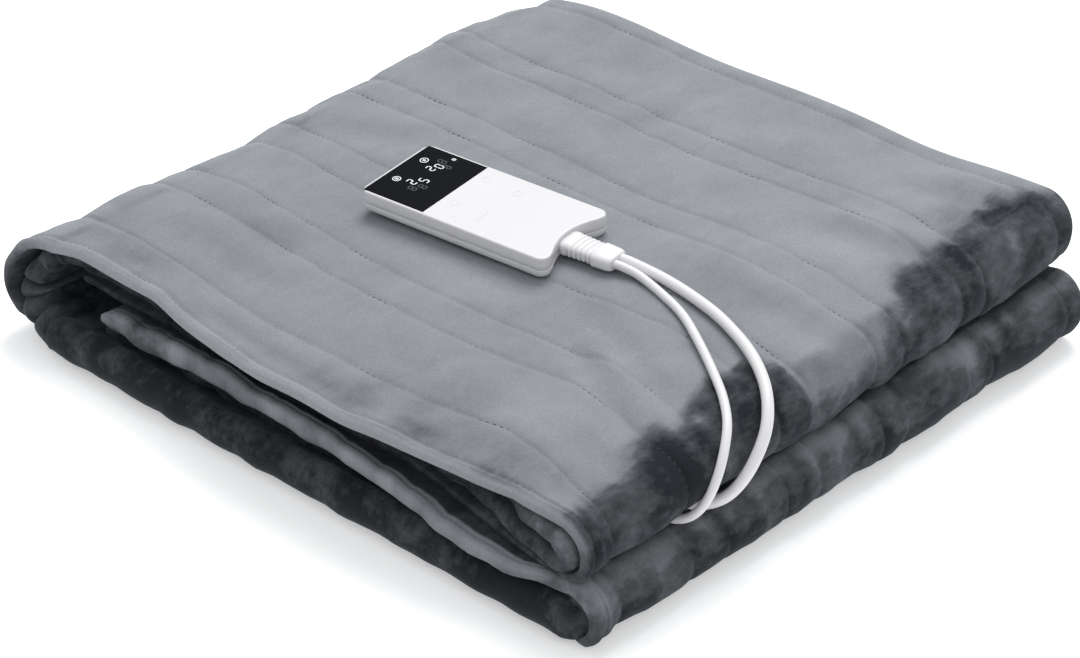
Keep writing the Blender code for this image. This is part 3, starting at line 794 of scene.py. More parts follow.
def cloth_points():
    """Every point of the folded throw, with the tables that name its rows and columns."""
    way = fold_way()
    columns = band_section()
    normal = section_normals(columns)
    y0 = np.array([c[0] for c in columns])[None, :]
    n0 = np.array([c[1] for c in columns])[None, :]
    kinds = np.array([c[2] for c in columns])
    s = way["s"][:, None]
    zone = way["zone"][:, None]
    turned = way["turned"][:, None]

    def of(*names):
        return np.isin(kinds, names)[None, :]

    def ripple(reach, seed):
        return gentle(s, y0 * 0.0, reach, seed)

    back = ramp(y0, 0.10, 0.25)
    front_drift = table_read(WAVER, "x", "front", way["x"])[:, None]
    back_drift = table_read(WAVER, "x", "back", way["x"])[:, None]
    drift = front_drift * (1.0 - back) + back_drift * back
    drift = drift * ramp(y0, 0.004, 0.030) * (1.0 - ramp(y0, 0.36, 0.396))
    wander = WANDER * gentle(s, y0 * 0.6, 0.13, 3) * np.sin(math.pi * np.clip(y0 / WIDTH, 0, 1))
    y = y0 + wander + drift
    n = n0 * np.ones_like(s)
    # The inner side of the wide left fold is bunched, with one fold standing up in it
    n = np.where(n < 0.0, n * (1.0 + way["bunch"][:, None]), n)
    in_left = (zone == LEFT_FOLD).astype(float)
    post = np.exp(-((turned - 0.60) / 0.10) ** 2) + 0.5 * np.exp(-((turned - 0.34) / 0.07) ** 2)
    n = n - in_left * np.where(n0 < -0.003, 1.0, 0.0) * POST_RISE * post * (1.0 - ramp(y0, 0.02, 0.09))
    swollen = FRONT_SWELL * np.sin(math.pi * turned) * (1 - ramp(y0, 0.05, 0.2))
    n = n + in_left * np.where(n0 > 0.0025, 1.0, 0.0) * swollen
    # Seams and swelling between them, on the face of the band
    folds = np.isin(way["zone"], TURNS).astype(float)[:, None]
    seam = seam_dip(y0)
    lump = (0.0004 + 0.0006 * folds) * gentle(s, y0, 0.055, 11)
    lump = lump + (0.00015 + 0.0004 * folds) * gentle(s, y0, 0.022, 12)
    dip = 0.0004 + 0.0004 * folds
    swell = 0.0001 + 0.0002 * folds
    outer_add = np.where(of("outer_face"), swell * (1.0 - seam) - dip * seam + lump, 0.0)
    # Hem: a rolled rim, and a stitched line behind it
    hem_line = np.exp(-((y0 - HEM_ROW) / 0.0011) ** 2)
    rim = np.exp(-((y0 - 0.0028) / 0.0024) ** 2)
    near_hem = of("outer_face", "hem_rim") & (y0 < HEM_END)
    outer_add = outer_add + np.where(near_hem, RIM_RISE * rim - HEM_LINE_DIP * hem_line, 0.0)
    under_add = np.where(of("outer_back") & (y0 < HEM_END), RIM_HOLLOW * (hem_line - rim), 0.0)
    n = n + np.sign(n) * outer_add + under_add
    # The hem over the lowest layer is bunched into a fat soft band
    fat_hem = along(way, FAT_HEM) * (1.0 + (0.30 * ripple(0.045, 33) + 0.16 * ripple(0.016, 34)))
    hem_ply = of("hem_rim", "outer_face", "outer_back")
    hem_share = np.clip((n0 - (HALF_BAND - HALF_PLY)) / HALF_PLY, -1.0, 1.0)
    hem_near = np.where(hem_ply, 1.0 - ramp(y0, 0.007, 0.020), 0.0)
    n = n + fat_hem * hem_near * np.where(hem_share > 0.0, hem_share, UNDER_HEM_SHARE * hem_share)
    # The hemmed edge, laid unevenly
    hem_in = along(way, HEM_IN) + 0.0008 * ripple(0.07, 31)
    hem_in = hem_in + 0.0014 * (zone == OVER_BOTTOM) * ripple(0.030, 35)
    y = y + np.where(hem_ply, hem_in, 0.0) * (1 - ramp(y0, 0.004, 0.046))
    # The folded inner edge: its place, its soft pleats, and the fat roll of the lowest layer
    inner = of("inner_face", "nose", "middle", "nose_gap", "inner_back")
    near = 1.0 - ramp(y0, 0.012, 0.060)
    upright = ripple(0.035, 21) + 0.6 * ripple(0.015, 22)
    roll = along(way, ROLL)
    nose_in = along(way, NOSE_IN) + upright * (0.0016 * (1.0 - roll) + 0.0008 * roll)
    y = y + np.where(inner, nose_in, 0.0) * near
    y = y - np.where(of("nose"), (NOSE_Y - y0) * (roll * ROLL_REACH), 0.0)
    puff = roll * ROLL_PUFF * (1.0 + 0.14 * ripple(0.09, 23))
    share = np.clip((HALF_PLY - n0) / (2 * NOSE), 0.0, 1.0)
    n = np.where(of("inner_face"), n - puff * (1.0 - ramp(y0, 0.0085, 0.022)), n)
    n = np.where(of("nose"), n - puff * share + roll * ROLL_LIFT * (1 - share), n)
    upper_side = of("middle") & (n0 > 0.0)
    n = np.where(upper_side, n + roll * ROLL_LIFT * (1.0 - ramp(y0, 0.0105, 0.017)), n)
    # Radial pleats inside the left fold
    pleats = cuff_pleats(turned)
    cuff = of("inner_face", "nose")
    depth = PLEAT_IN * np.sin(math.pi * turned) ** 0.7
    y = y - np.where(cuff, 1.0, 0.0) * in_left * depth * (pleats - 0.75) * near
    n = n + np.where(cuff & (n0 < 0), 1.0, 0.0) * in_left * PLEAT_UP * (1 - pleats) * near
    x = way["x"][:, None] + way["out_x"][:, None] * way["stretch"][:, None] * n
    level = way["z"][:, None] + way["out_z"][:, None] * n
    points = settle(x, y, level)
    # The left fold stands out at the front, and the stack's back left corner is drawn in
    bulge = in_left * (1.0 - ramp(y0, 0.0, 0.085)) * np.exp(-((turned - 0.62) / 0.22) ** 2)
    points[..., 0] -= LEFT_BULGE * bulge
    corner = (1.0 - ramp(points[..., 0], -0.02, 0.075)) * ramp(points[..., 1], 0.325, 0.410)
    for axis, share in enumerate((1.0, 1.0, level / STACK)):
        points[..., axis] += CORNER_MOVE[axis] * corner * share
    # Creases and broad swells of the upper face
    on_top = ramp(level, STACK - BAND, STACK)
    points[..., 2] -= on_top * (crease_depth(x, y) - TOP_SWELL * gentle(x, y, 0.16, 41))
    # The lowest layer lies flat
    flat = (level < PLY) & (zone == BOTTOM) & of("outer_face")
    points[..., 2] = np.where(flat & (points[..., 2] < 0.0015), 0.0, points[..., 2])
    points[..., 2] = np.maximum(points[..., 2], 0.0)
    return points, way, columns, kinds, normal


# How far each ring at the band's ends draws in, and how far it stands out
END_RINGS = ((0.0005, 0.0011), (0.0011, 0.0018), (0.0019, 0.0022))


def cloth_mesh(name):
    """The throw's mesh, closed, with its mask of painted light, painted shade and nap stored on its
    points.
    """
    points, way, columns, kinds, normal = cloth_points()
    count = points.shape[1]
    # Both cut ends of the band are rounded off in a few rings
    ends = []
    for row in (0, -1):
        for inset, out in END_RINGS:
            ring = points[row].copy()
            ring[:, 1] -= normal[:, 0] * inset
            ring[:, 2] -= normal[:, 1] * inset * way["out_z"][row]
            ring[:, 0] -= out
            ends.append(ring)
    grid = np.concatenate([ends[2::-1], points, ends[3:]])
    total = grid.shape[0]
    verts = (grid + np.array(CORNER)).reshape(-1, 3)
    starts = np.arange(total - 1)[:, None] * count
    a = starts + np.arange(count)[None, :]
    b = starts + (np.arange(count)[None, :] + 1) % count
    faces = np.stack([a, b, b + count, a + count], axis=-1).reshape(-1, 4).tolist()
    faces.append(list(range(count))[::-1])
    faces.append([(total - 1) * count + i for i in range(count)])
    mesh = bpy.data.meshes.new(name)
    mesh.from_pydata(verts.tolist(), [], faces)
    mesh.update()
    bm = bmesh.new()
    bm.from_mesh(mesh)
    bmesh.ops.triangulate(bm, faces=[f for f in bm.faces if len(f.verts) > 4])
    if bm.calc_volume(signed=True) < 0.0:
        bmesh.ops.reverse_faces(bm, faces=bm.faces)
    bm.to_mesh(mesh)
    bm.free()
    mesh.shade_smooth()
    more = len(END_RINGS)
    longer = {key: np.concatenate([[value[0]] * more, value, [value[-1]] * more])
              for key, value in way.items()}
    paint_light_and_nap(mesh, grid, longer, columns, kinds)
    return mesh, points, columns, way


# Where the pile has been stroked the other way on the upper face, with patches of painted shade where
# the face sags towards the front hem
STROKES = named(
    "x y reach_x reach_y shade",
    (0.310, 0.016, 0.040, 0.011, -0.15), (0.255, 0.014, 0.035, 0.009, -0.12),
    (0.282, 0.012, 0.007, 0.016, 0.12), (0.338, 0.014, 0.008, 0.018, 0.12),
    (0.330, 0.034, 0.060, 0.018, -0.10), (0.335, 0.060, 0.030, 0.016, 0.10),
    (0.300, 0.062, 0.030, 0.012, -0.08), (0.180, 0.030, 0.050, 0.006, 0.08),
    (0.190, 0.018, 0.050, 0.006, -0.06), (0.070, 0.028, 0.030, 0.010, -0.12),
    (0.100, 0.094, 0.050, 0.007, -0.06), (0.330, 0.205, 0.030, 0.015, -0.10),
    (0.210, 0.130, 0.050, 0.012, 0.05), (0.350, 0.275, 0.040, 0.012, 0.08),
    (0.385, 0.350, 0.020, 0.020, -0.20), (0.355, 0.020, 0.022, 0.014, -0.16),
)
# Where the upper fold turns dark with painted shade as it bends away from the lamps, as an X that runs
# on round the fold, and how dark
DARK_EDGE = named(
    "y x dark",
    (0.000, 0.410, 0.62), (0.030, 0.408, 0.78), (0.052, 0.402, 0.84), (0.090, 0.392, 0.84),
    (0.108, 0.398, 0.86), (0.130, 0.390, 0.86), (0.150, 0.382, 0.84), (0.166, 0.396, 0.78),
    (0.186, 0.436, 0.60), (0.215, 0.442, 0.52), (0.240, 0.430, 0.56), (0.264, 0.398, 0.72),
    (0.290, 0.398, 0.66), (0.315, 0.400, 0.78), (0.350, 0.388, 0.88), (0.375, 0.396, 0.74),
    (0.400, 0.404, 0.66),
)
# The way round the upper fold, and the least and the most that the mask of painted light and nap may be
UPPER_FOLD_ROUND = 0.058
LIGHT_AND_NAP_RANGE = (-0.35, 1.0)
# How light each stretch is painted, mostly painted light on the upper face and painted shade under it,
# on the sides and in the recesses, partly the pile's lie: its face, its hem and its folded inner edge
LIGHTNESS = {
    UNDER_TOP: ((0.0, 0.06), (1.0, 0.06)),
    UPPER_FOLD: ((0.0, 0.14), (0.35, 0.32), (0.75, 0.62), (1.0, 0.84)),
    TOP: ((0.033, 0.84), (0.350, 0.87), (0.380, 0.86), (0.4045, 0.84)),
    LEFT_FOLD: ((0.0, 0.84), (0.12, 0.78), (0.32, 0.54), (0.65, 0.22), (1.0, 0.0)),
    BOTTOM: ((0.033, -0.06), (0.4125, -0.06)),
    LOWER_FOLD: ((0.0, -0.06), (0.40, 0.03), (0.66, 0.18), (0.84, 0.46), (1.0, 0.38)),
    OVER_BOTTOM: ((0.0, 0.08), (1.0, 0.08)),
}
HEM_LIGHTNESS = {
    UNDER_TOP: ((0.0, 0.12), (1.0, 0.20)),
    UPPER_FOLD: ((0.0, 0.30), (0.6, 0.44), (1.0, 0.70)),
    TOP: ((0.0, 0.90), (0.330, 0.86), (0.4045, 0.72)),
    LEFT_FOLD: ((0.0, 0.86), (0.35, 0.54), (0.7, 0.20), (1.0, 0.0)),
    BOTTOM: ((0.0, 0.08), (1.0, 0.08)),
    LOWER_FOLD: ((0.0, 0.12), (0.5, 0.34), (0.8, 0.50), (1.0, 0.50)),
    OVER_BOTTOM: ((0.062, 0.60), (0.120, 0.66), (0.330, 0.74), (0.4125, 0.50)),
}
INNER_LIGHTNESS = {
    UNDER_TOP: ((0.030, 0.08), (0.080, 0.05), (1.0, 0.05)),
    UPPER_FOLD: ((0.0, 0.24), (0.5, 0.46), (1.0, 0.46)),
    TOP: ((0.033, 0.14), (0.090, 0.05), (0.360, 0.05), (0.4045, 0.36)),
    LEFT_FOLD: ((0.0, 0.02), (0.4, 0.10), (0.6, 0.24), (0.8, 0.06), (1.0, -0.06)),
    BOTTOM: ((0.033, -0.12), (0.200, -0.08), (0.4125, -0.10)),
    LOWER_FOLD: ((0.0, 0.14), (1.0, 0.10)),
    OVER_BOTTOM: ((0.062, 0.14), (0.100, 0.05), (1.0, 0.04)),
}


def mottle(a, b, scale, level):
    """Uneven noise over two coordinates, as an array around 0, cut at a level of its own."""
    flat = [noise.noise(Vector((p * scale, q * scale, level))) for p, q in
            zip(np.ravel(a).tolist(), np.ravel(b).tolist())]
    return np.array(flat).reshape(a.shape)


def paint_light_and_nap(mesh, grid, way, columns, kinds):
    """Store a mask at each point from 1, light, to 0, dark: mostly painted light and painted shade, by
    how each face turns to the lamps and where folds, seams and recesses lie, partly the pile's own lie
    and mottle.
    """
    shape = grid.shape[:2]
    up = np.empty(shape[0] * shape[1] * 3, np.float32)
    mesh.vertex_normals.foreach_get("vector", up)
    up = up.reshape(shape[0], shape[1], 3)
    y0 = np.array([c[0] for c in columns])[None, :] * np.ones(shape)
    s = way["s"][:, None] * np.ones(shape)
    zone = way["zone"][:, None]
    x, y = grid[..., 0], grid[..., 1]
    broad = mottle(s * 0.6, y0, 30.0, 1.0)
    fine = mottle(s * 0.7, y0, 95.0, 2.0)
    outer = np.isin(kinds, ("outer_face", "back_fold"))[None, :]
    hem = np.isin(kinds, ("hem_rim", "outer_face"))[None, :] & (y0 < 0.0085)
    nap = np.where(outer, along(way, LIGHTNESS), along(way, INNER_LIGHTNESS))
    nap = np.where(hem, along(way, HEM_LIGHTNESS), nap)
    # Painted shade: the light upper face gives way to the dark fold along an uneven line, where the fold
    # bends away from the lamps
    turned = way["turned"][:, None]
    place = np.where(zone == UPPER_FOLD, UPPER_FOLD_X + UPPER_FOLD_ROUND * (1.0 - turned), x)
    strayed = y + 0.016 * mottle(s, y0, 42.0, 3.0) + 0.008 * fine
    edge = table_read(DARK_EDGE, "y", "x", strayed) + 0.010 * broad + 0.007 * fine
    dark = ramp(place - edge, -0.010, 0.012) * ((zone == TOP) | (zone == UPPER_FOLD)) * outer
    nap = nap * (1.0 - table_read(DARK_EDGE, "y", "dark", strayed) * dark)
    topmost = np.where(zone == TOP, 1.0, 0.0)
    topmost = np.where(zone == LEFT_FOLD, 1.0 - ramp(turned, 0.0, 0.30), topmost)
    topmost = np.where(zone == UPPER_FOLD, ramp(turned, 0.60, 1.0), topmost)
    on_top = topmost * outer
    # Stroked pile on the upper face, and some patches of painted shade
    for row in STROKES:
        away = ((x - row["x"]) / row["reach_x"]) ** 2 + ((y - row["y"]) / row["reach_y"]) ** 2
        nap = nap + on_top * row["shade"] * np.exp(-away * (1.0 + 0.8 * fine))
    # Painted shade in the gaps between the pleats inside the left fold, painted light on their crests
    in_left = (zone == LEFT_FOLD) & np.isin(kinds, ("inner_face", "nose"))[None, :]
    nap = np.where(in_left, nap * (0.25 + 1.1 * cuff_pleats(turned)), nap)
    rough = 0.04 + 0.30 * dark + 0.32 * (zone == LOWER_FOLD) + 0.24 * (zone == BOTTOM)
    rough = rough + 0.34 * ((zone == OVER_BOTTOM) & hem) + 0.18 * (zone == UPPER_FOLD) * (1.0 - topmost)
    rough = rough + 0.16 * (zone == LEFT_FOLD) * (1.0 - topmost)
    nap = nap + rough * broad + (0.03 + 0.9 * (rough - 0.04)) * fine
    # Painted light: the upper face is lighter where it leans towards the key lamp
    lean = up[..., 0] * -0.55 + up[..., 1] * 0.45
    nap = nap + on_top * (1.0 - dark) * 0.45 * lean
    # Painted light and shade off the upper face: lighter where a face turns up to the lamps, darker
    # where it turns down
    nap = nap + (1.0 - on_top) * 0.20 * np.clip(up[..., 2], -0.5, 1.0)
    # Painted shade along the seams' troughs
    nap = nap - 0.04 * seam_dip(y0) * outer
    attribute = mesh.attributes.new("nap", "FLOAT", "POINT")
    attribute.data.foreach_set("value", np.clip(nap, *LIGHT_AND_NAP_RANGE).astype(np.float32).ravel())


# ---------------------------------------------------------------- stitches

def stitch_tree():
    """Geometry nodes that set a row of stitches along each edge chain."""
    tree, inside, out = new_group("stitch_rows", "GeometryNodeTree", (
        ("Geometry", "Geometry", None), ("Pitch", "Float", 0.0042), ("Length", "Float", 0.0030),
        ("Width", "Float", 0.0007), ("Material", "Material", None)), ("Geometry", "Geometry"))
    link = tree.links.new
    to_curve = node(tree, "GeometryNodeMeshToCurve")
    points = node(tree, "GeometryNodeCurveToPoints", mode="LENGTH")
    ball = node(tree, "GeometryNodeMeshUVSphere", Segments=6, Rings=4, Radius=0.5)
    turn = node(tree, "FunctionNodeAlignRotationToVector", axis="X")
    scale = node(tree, "ShaderNodeCombineXYZ")
    place = node(tree, "GeometryNodeInstanceOnPoints")
    real = node(tree, "GeometryNodeRealizeInstances")
    finish = node(tree, "GeometryNodeSetMaterial")
    link(inside.outputs["Geometry"], to_curve.inputs["Mesh"])
    link(to_curve.outputs["Curve"], points.inputs["Curve"])
    link(inside.outputs["Pitch"], points.inputs["Length"])
    link(points.outputs["Tangent"], turn.inputs["Vector"])
    link(inside.outputs["Length"], scale.inputs["X"])
    for axis in "YZ":
        link(inside.outputs["Width"], scale.inputs[axis])
    link(points.outputs["Points"], place.inputs["Points"])
    link(ball.outputs["Mesh"], place.inputs["Instance"])
    link(turn.outputs["Rotation"], place.inputs["Rotation"])
    link(scale.outputs["Vector"], place.inputs["Scale"])
    link(place.outputs["Instances"], real.inputs["Geometry"])
    link(real.outputs["Geometry"], finish.inputs["Geometry"])
    link(inside.outputs["Material"], finish.inputs["Material"])
    link(finish.outputs["Geometry"], out.inputs["Geometry"])
    return tree


STITCH_SINK = (0.00005, -0.00030)
STITCH_FLOOR = 0.0004


def stitch_chains(grid, columns, way):
    """The sewn lines as chains of points, in two stretches each, left out where none show."""
    shown = np.isin(way["zone"], (UPPER_FOLD, TOP, LEFT_FOLD, LOWER_FOLD))
    split = way["s"][way["zone"] == BOTTOM].mean()
    chains = []
    for index, (y, _, kind) in enumerate(columns):
        sewn = y == HEM_ROW or any(abs(y - row) < 1e-6 for row in SEAM_ROWS)
        if kind == "outer_face" and sewn:
            lifted = grid[:, index].copy()
            uneven = 1.0 + gentle(way["s"], np.full_like(way["s"], y), 0.045, 51)
            sunk = STITCH_SINK[0] + STITCH_SINK[1] * uneven
            lifted[:, 0] += way["out_x"] * sunk
            lifted[:, 2] += way["out_z"] * sunk
            lifted[:, 2] = np.maximum(lifted[:, 2], STITCH_FLOOR)
            for stretch in (shown & (way["s"] < split), shown & (way["s"] > split)):
                chains.append((lifted + np.array(CORNER))[stretch])
    return chains


def stitch_rows(name, chains, size, thread):
    """Stitches along chains of points, made by geometry nodes and then baked."""
    verts = []
    edges = []
    for chain in chains:
        start = len(verts)
        verts += [tuple(p) for p in chain]
        edges += [(start + i, start + i + 1) for i in range(len(chain) - 1)]
    mesh = bpy.data.meshes.new(name)
    mesh.from_pydata(verts, edges, [])
    piece = add_piece(name, mesh, [])
    tree = bpy.data.node_groups.get("stitch_rows") or stitch_tree()
    modifier = piece.modifiers.new("stitches", "NODES")
    modifier.node_group = tree
    values = {"Pitch": size.stitch_pitch, "Length": size.stitch_length, "Width": size.stitch_width,
              "Material": thread}
    for item in tree.interface.items_tree:
        if item.in_out == "INPUT" and item.name in values:
            modifier[item.identifier] = values[item.name]
    return baked(piece)


# ---------------------------------------------------------------- the controller

CASE_LENGTH = 0.125
CASE_WIDTH = 0.060
CASE_CORNER = 0.0055
SCOOP_DEPTH = 0.007
SCOOP_WIDTH = 0.044
CASE_TOP = 0.0127
WINDOW_LENGTH = 0.041
WINDOW_WIDTH = 0.0565
WINDOW_IN = 0.0018
WINDOW_DEEP = 0.0014
WINDOW_GAP = 0.0003
MARK_THICK = 0.00008

# The case's edges: height, and how far the outline draws in there
LOWER_ROWS = named(
    "z inset",
    (0.0000, 0.0026), (0.0003, 0.0016), (0.0009, 0.0009), (0.0018, 0.0004),
    (0.0030, 0.0001), (0.0044, 0.0000), (0.0050, 0.00015), (0.0052, 0.0003),
)
UPPER_ROWS = named(
    "z inset",
    (0.0053, 0.0003), (0.0055, 0.00012), (0.0080, 0.0000), (0.0115, 0.0000),
    (0.0121, 0.0001), (0.0124, 0.0003), (0.0126, 0.0006), (0.0127, 0.0010),
)


def case_outline(inset):
    """Plan of the controller: a rounded rectangle, scooped out where the leads leave."""
    half_x = CASE_LENGTH / 2 - inset
    half_y = CASE_WIDTH / 2 - inset
    corner = max(CASE_CORNER - 0.4 * inset, 0.002)
    points = []

    def rounded(sign_x, sign_y, start):
        for step in range(10):
            angle = math.radians(start + 10 * step)
            points.append((sign_x * (half_x - corner) + corner * math.cos(angle),
                           sign_y * (half_y - corner) + corner * math.sin(angle)))

    rounded(-1, 1, 90)
    rounded(-1, -1, 180)
    rounded(1, -1, 270)
    for step in range(1, 28):
        t = step / 28
        scoop = SCOOP_DEPTH * math.sin(math.pi * t) ** 0.9
        points.append((half_x - scoop, SCOOP_WIDTH * (t - 0.5)))
    rounded(1, 1, 0)
    return points


def case_half(name, rows, made):
    """One half of the case from its edge rows, its rounded edges smooth and its faces flat."""
    bm = bmesh.new()
    rings = [[(x, y, row["z"]) for x, y in case_outline(row["inset"])] for row in rows]
    join_rings(bm, rings)
    mesh = mesh_from_bmesh(name, bm)
    for face in mesh.polygons:
        face.use_smooth = len(face.vertices) == 4
    return add_piece(name, mesh, [made])


def boot_rings():
    """Rings of the strain relief: a plain root, five rounded ribs and a collar."""
    rows = [(0.0000, 0.0090, 0.0043), (0.0040, 0.0089, 0.0043)]
    first = 0.0050
    pitch = 0.0030
    for rib in range(5):
        start = first + rib * pitch
        taper = 1.0 - 0.018 * rib
        for share, rise in ((0.0, -0.0008), (0.14, -0.0008), (0.24, 0.0), (0.50, 0.0002),
                            (0.78, 0.0), (0.88, -0.0008)):
            rows.append((start + share * pitch, 0.0086 * taper + rise, 0.0041 * taper + rise * 0.8))
    rows += [(0.0202, 0.0072, 0.0036), (0.0206, 0.0084, 0.0043), (0.0214, 0.0088, 0.0046),
             (0.0300, 0.0083, 0.0044), (0.0318, 0.0078, 0.0041), (0.0328, 0.0069, 0.0037),
             (0.0330, 0.0060, 0.0033)]
    rings = []
    for along_x, wide, high in rows:
        ring = []
        for step in range(36):
            angle = 2 * math.pi * step / 36
            c, d = math.cos(angle), math.sin(angle)
            ring.append((along_x, wide * math.copysign(abs(c) ** 0.62, c),
                         high * math.copysign(abs(d) ** 0.62, d)))
        rings.append(ring)
    return rings


SEGMENTS = {"0": "abcdef", "2": "abged", "5": "afgcd", "8": "abcdefg"}
# Each mark of the display: what it is, its middle on the case, its size and whether it is lit
DISPLAY_MARKS = named(
    "kind x y size lit",
    ("ring", -0.0530, -0.0095, 0.0044, True), ("bars", -0.0530, -0.0095, 0.0024, True),
    ("2", -0.0440, -0.0075, 0.0058, True), ("5", -0.0395, -0.0025, 0.0058, True),
    ("8", -0.0395, -0.0125, 0.0052, False), ("8", -0.0360, -0.0080, 0.0052, False),
    ("ring", -0.0530, 0.0145, 0.0046, True), ("bars", -0.0530, 0.0145, 0.0020, True),
    ("2", -0.0445, 0.0095, 0.0054, True), ("0", -0.0420, 0.0140, 0.0054, True),
    ("8", -0.0440, 0.0190, 0.0052, False), ("8", -0.0380, 0.0160, 0.0048, False),
    ("bars", -0.0400, 0.0245, 0.0026, True),
)
KEY_MARKS = named(
    "kind x y size",
    ("ring", -0.0113, -0.0108, 0.0048), ("ring", -0.0119, 0.0180, 0.0052),
    ("ring", 0.0109, 0.0161, 0.0050), ("dash", 0.0092, -0.0115, 0.0030),
)


def flat_bar(bm, x, y, z, length, width, thick, turn=0.0):
    """A thin bar lying at a place, its length turned from the Y axis."""
    place = Matrix.Translation((x, y, z)) @ Matrix.Rotation(turn, 4, "Z")
    place @= Matrix.Diagonal((width, length, thick, 1.0))
    bmesh.ops.create_cube(bm, size=1.0, matrix=place)


def flat_mark(bm, mark, z, thick):
    """One mark: a ring, short bars, or a seven segment number, read from the leads' end."""
    x, y, size = mark["x"], mark["y"], mark["size"]
    kind = mark["kind"]
    if kind == "ring":
        for step in range(18):
            angle = 2 * math.pi * step / 18
            flat_bar(bm, x + size / 2 * math.cos(angle), y + size / 2 * math.sin(angle), z,
                     size * 0.18, 0.00045, thick, angle)
    elif kind == "bars":
        for step in (-1, 0, 1):
            flat_bar(bm, x + step * size * 0.36, y, z, size * (1.0 - 0.25 * abs(step)), 0.00042,
                     thick)
    elif kind == "dash":
        for step in range(7):
            flat_bar(bm, x, y + (step - 3) * 0.0021, z, 0.0013, 0.0009 + 0.0004 * (step % 2), thick)
    else:
        wide = size * 0.5
        places = {"a": (-size / 2, 0.0, 0), "g": (0.0, 0.0, 0), "d": (size / 2, 0.0, 0),
                  "f": (-size / 4, -wide / 2, 1), "b": (-size / 4, wide / 2, 1),
                  "e": (size / 4, -wide / 2, 1), "c": (size / 4, wide / 2, 1)}
        for segment in SEGMENTS[kind]:
            dx, dy, upright = places[segment]
            flat_bar(bm, x + dx, y + dy, z, wide * 0.78, 0.00055, thick, math.pi / 2 * upright)


def marks_piece(name, marks, height, made, place):
    """Marks as one thin mesh on the case."""
    bm = bmesh.new()
    for mark in marks:
        flat_mark(bm, mark, height, MARK_THICK)
    bmesh.ops.transform(bm, matrix=place, verts=bm.verts)
    return add_piece(name, mesh_from_bmesh(name, bm, smooth=False), [made])


def with_recess(half):
    """Sink the window's seat into the case's upper half."""
    cutter_mesh = bpy.data.meshes.new("recess")
    bm = bmesh.new()
    middle = -CASE_LENGTH / 2 + WINDOW_IN + WINDOW_LENGTH / 2
    place = Matrix.Translation((middle, 0.0, CASE_TOP - WINDOW_DEEP + 0.002))
    place @= Matrix.Diagonal((WINDOW_LENGTH + 2 * WINDOW_GAP, WINDOW_WIDTH + 2 * WINDOW_GAP, 0.004, 1.0))
    bmesh.ops.create_cube(bm, size=1.0, matrix=place)
    bm.to_mesh(cutter_mesh)
    bm.free()
    cutter = bpy.data.objects.new("recess", cutter_mesh)
    bpy.context.scene.collection.objects.link(cutter)
    modifier = half.modifiers.new("seat", "BOOLEAN")
    modifier.object = cutter
    modifier.solver = "EXACT"
    bpy.context.view_layer.update()
    made = baked(half)
    bpy.data.objects.remove(cutter, do_unlink=True)
    return made


def give_material(name, made):
    """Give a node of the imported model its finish."""
    data = bpy.data.objects[name].data
    data.materials.clear()
    data.materials.append(made)


# ---------------------------------------------------------------- properties and operators

class BlanketSettings(bpy.types.PropertyGroup):
    """Sizes and colours that a user would change."""
    # The plush's tone on its lit upper face, with painted light in it
    plush_painted_lit: FloatVectorProperty(
        name="Plush, light nap", description="Colour where the pile catches the light",
        subtype="COLOR", size=3, default=(0.315, 0.330, 0.352), min=0.0, max=1.0)
    # The near black painted shade of the plush's sides, folds and recesses
    plush_painted_shade: FloatVectorProperty(
        name="Plush, dark nap", description="Colour where the pile lies away from the light",
        subtype="COLOR", size=3, default=(0.013, 0.0152, 0.0188), min=0.0, max=1.0)
    case_color: FloatVectorProperty(
        name="Case", description="Colour of the controller's case",
        subtype="COLOR", size=3, default=(0.70, 0.69, 0.70), min=0.0, max=1.0)
    lead_color: FloatVectorProperty(
        name="Leads", description="Colour of the leads and the plug",
        subtype="COLOR", size=3, default=(0.78, 0.765, 0.78), min=0.0, max=1.0)
    stitch_pitch: FloatProperty(
        name="Stitch pitch", description="From the start of one stitch to the next",
        subtype="DISTANCE", unit="LENGTH", default=0.0042, min=0.001, max=0.02)
    stitch_length: FloatProperty(
        name="Stitch length", description="Length of one stitch",
        subtype="DISTANCE", unit="LENGTH", default=0.0027, min=0.0005, max=0.02)
    stitch_width: FloatProperty(
        name="Stitch width", description="Thickness of the thread",
        subtype="DISTANCE", unit="LENGTH", default=0.0005, min=0.0002, max=0.003)
    lens: FloatProperty(
        name="Lens", description="Focal length of the camera",
        subtype="DISTANCE_CAMERA", default=93.33, min=10.0, max=300.0)


# The floor, the lights, and the camera's place from the stack's left front corner
FLOOR_REACH = 6.0
LIGHTS = named("name place width power",
               ("key", (-0.5, 0.9, 1.9), 1.4, 38.0),
               ("fill", (1.6, -0.6, 1.5), 1.2, 4.0))
LIGHTS_AIM = Vector((0.0, 0.0, 0.05))
CAMERA_PLACE = Vector((1.1231, -0.7604, 0.8315))
CAMERA_AZIMUTH = math.radians(43.5)
CAMERA_DROP = math.radians(32.0)


def aim_along(item, place, look):
    """Put a light or camera at a place, looking one way."""
    item.location = place
    item.rotation_mode = "QUATERNION"
    item.rotation_quaternion = look.to_track_quat("-Z", "Y")
    bpy.context.scene.collection.objects.link(item)


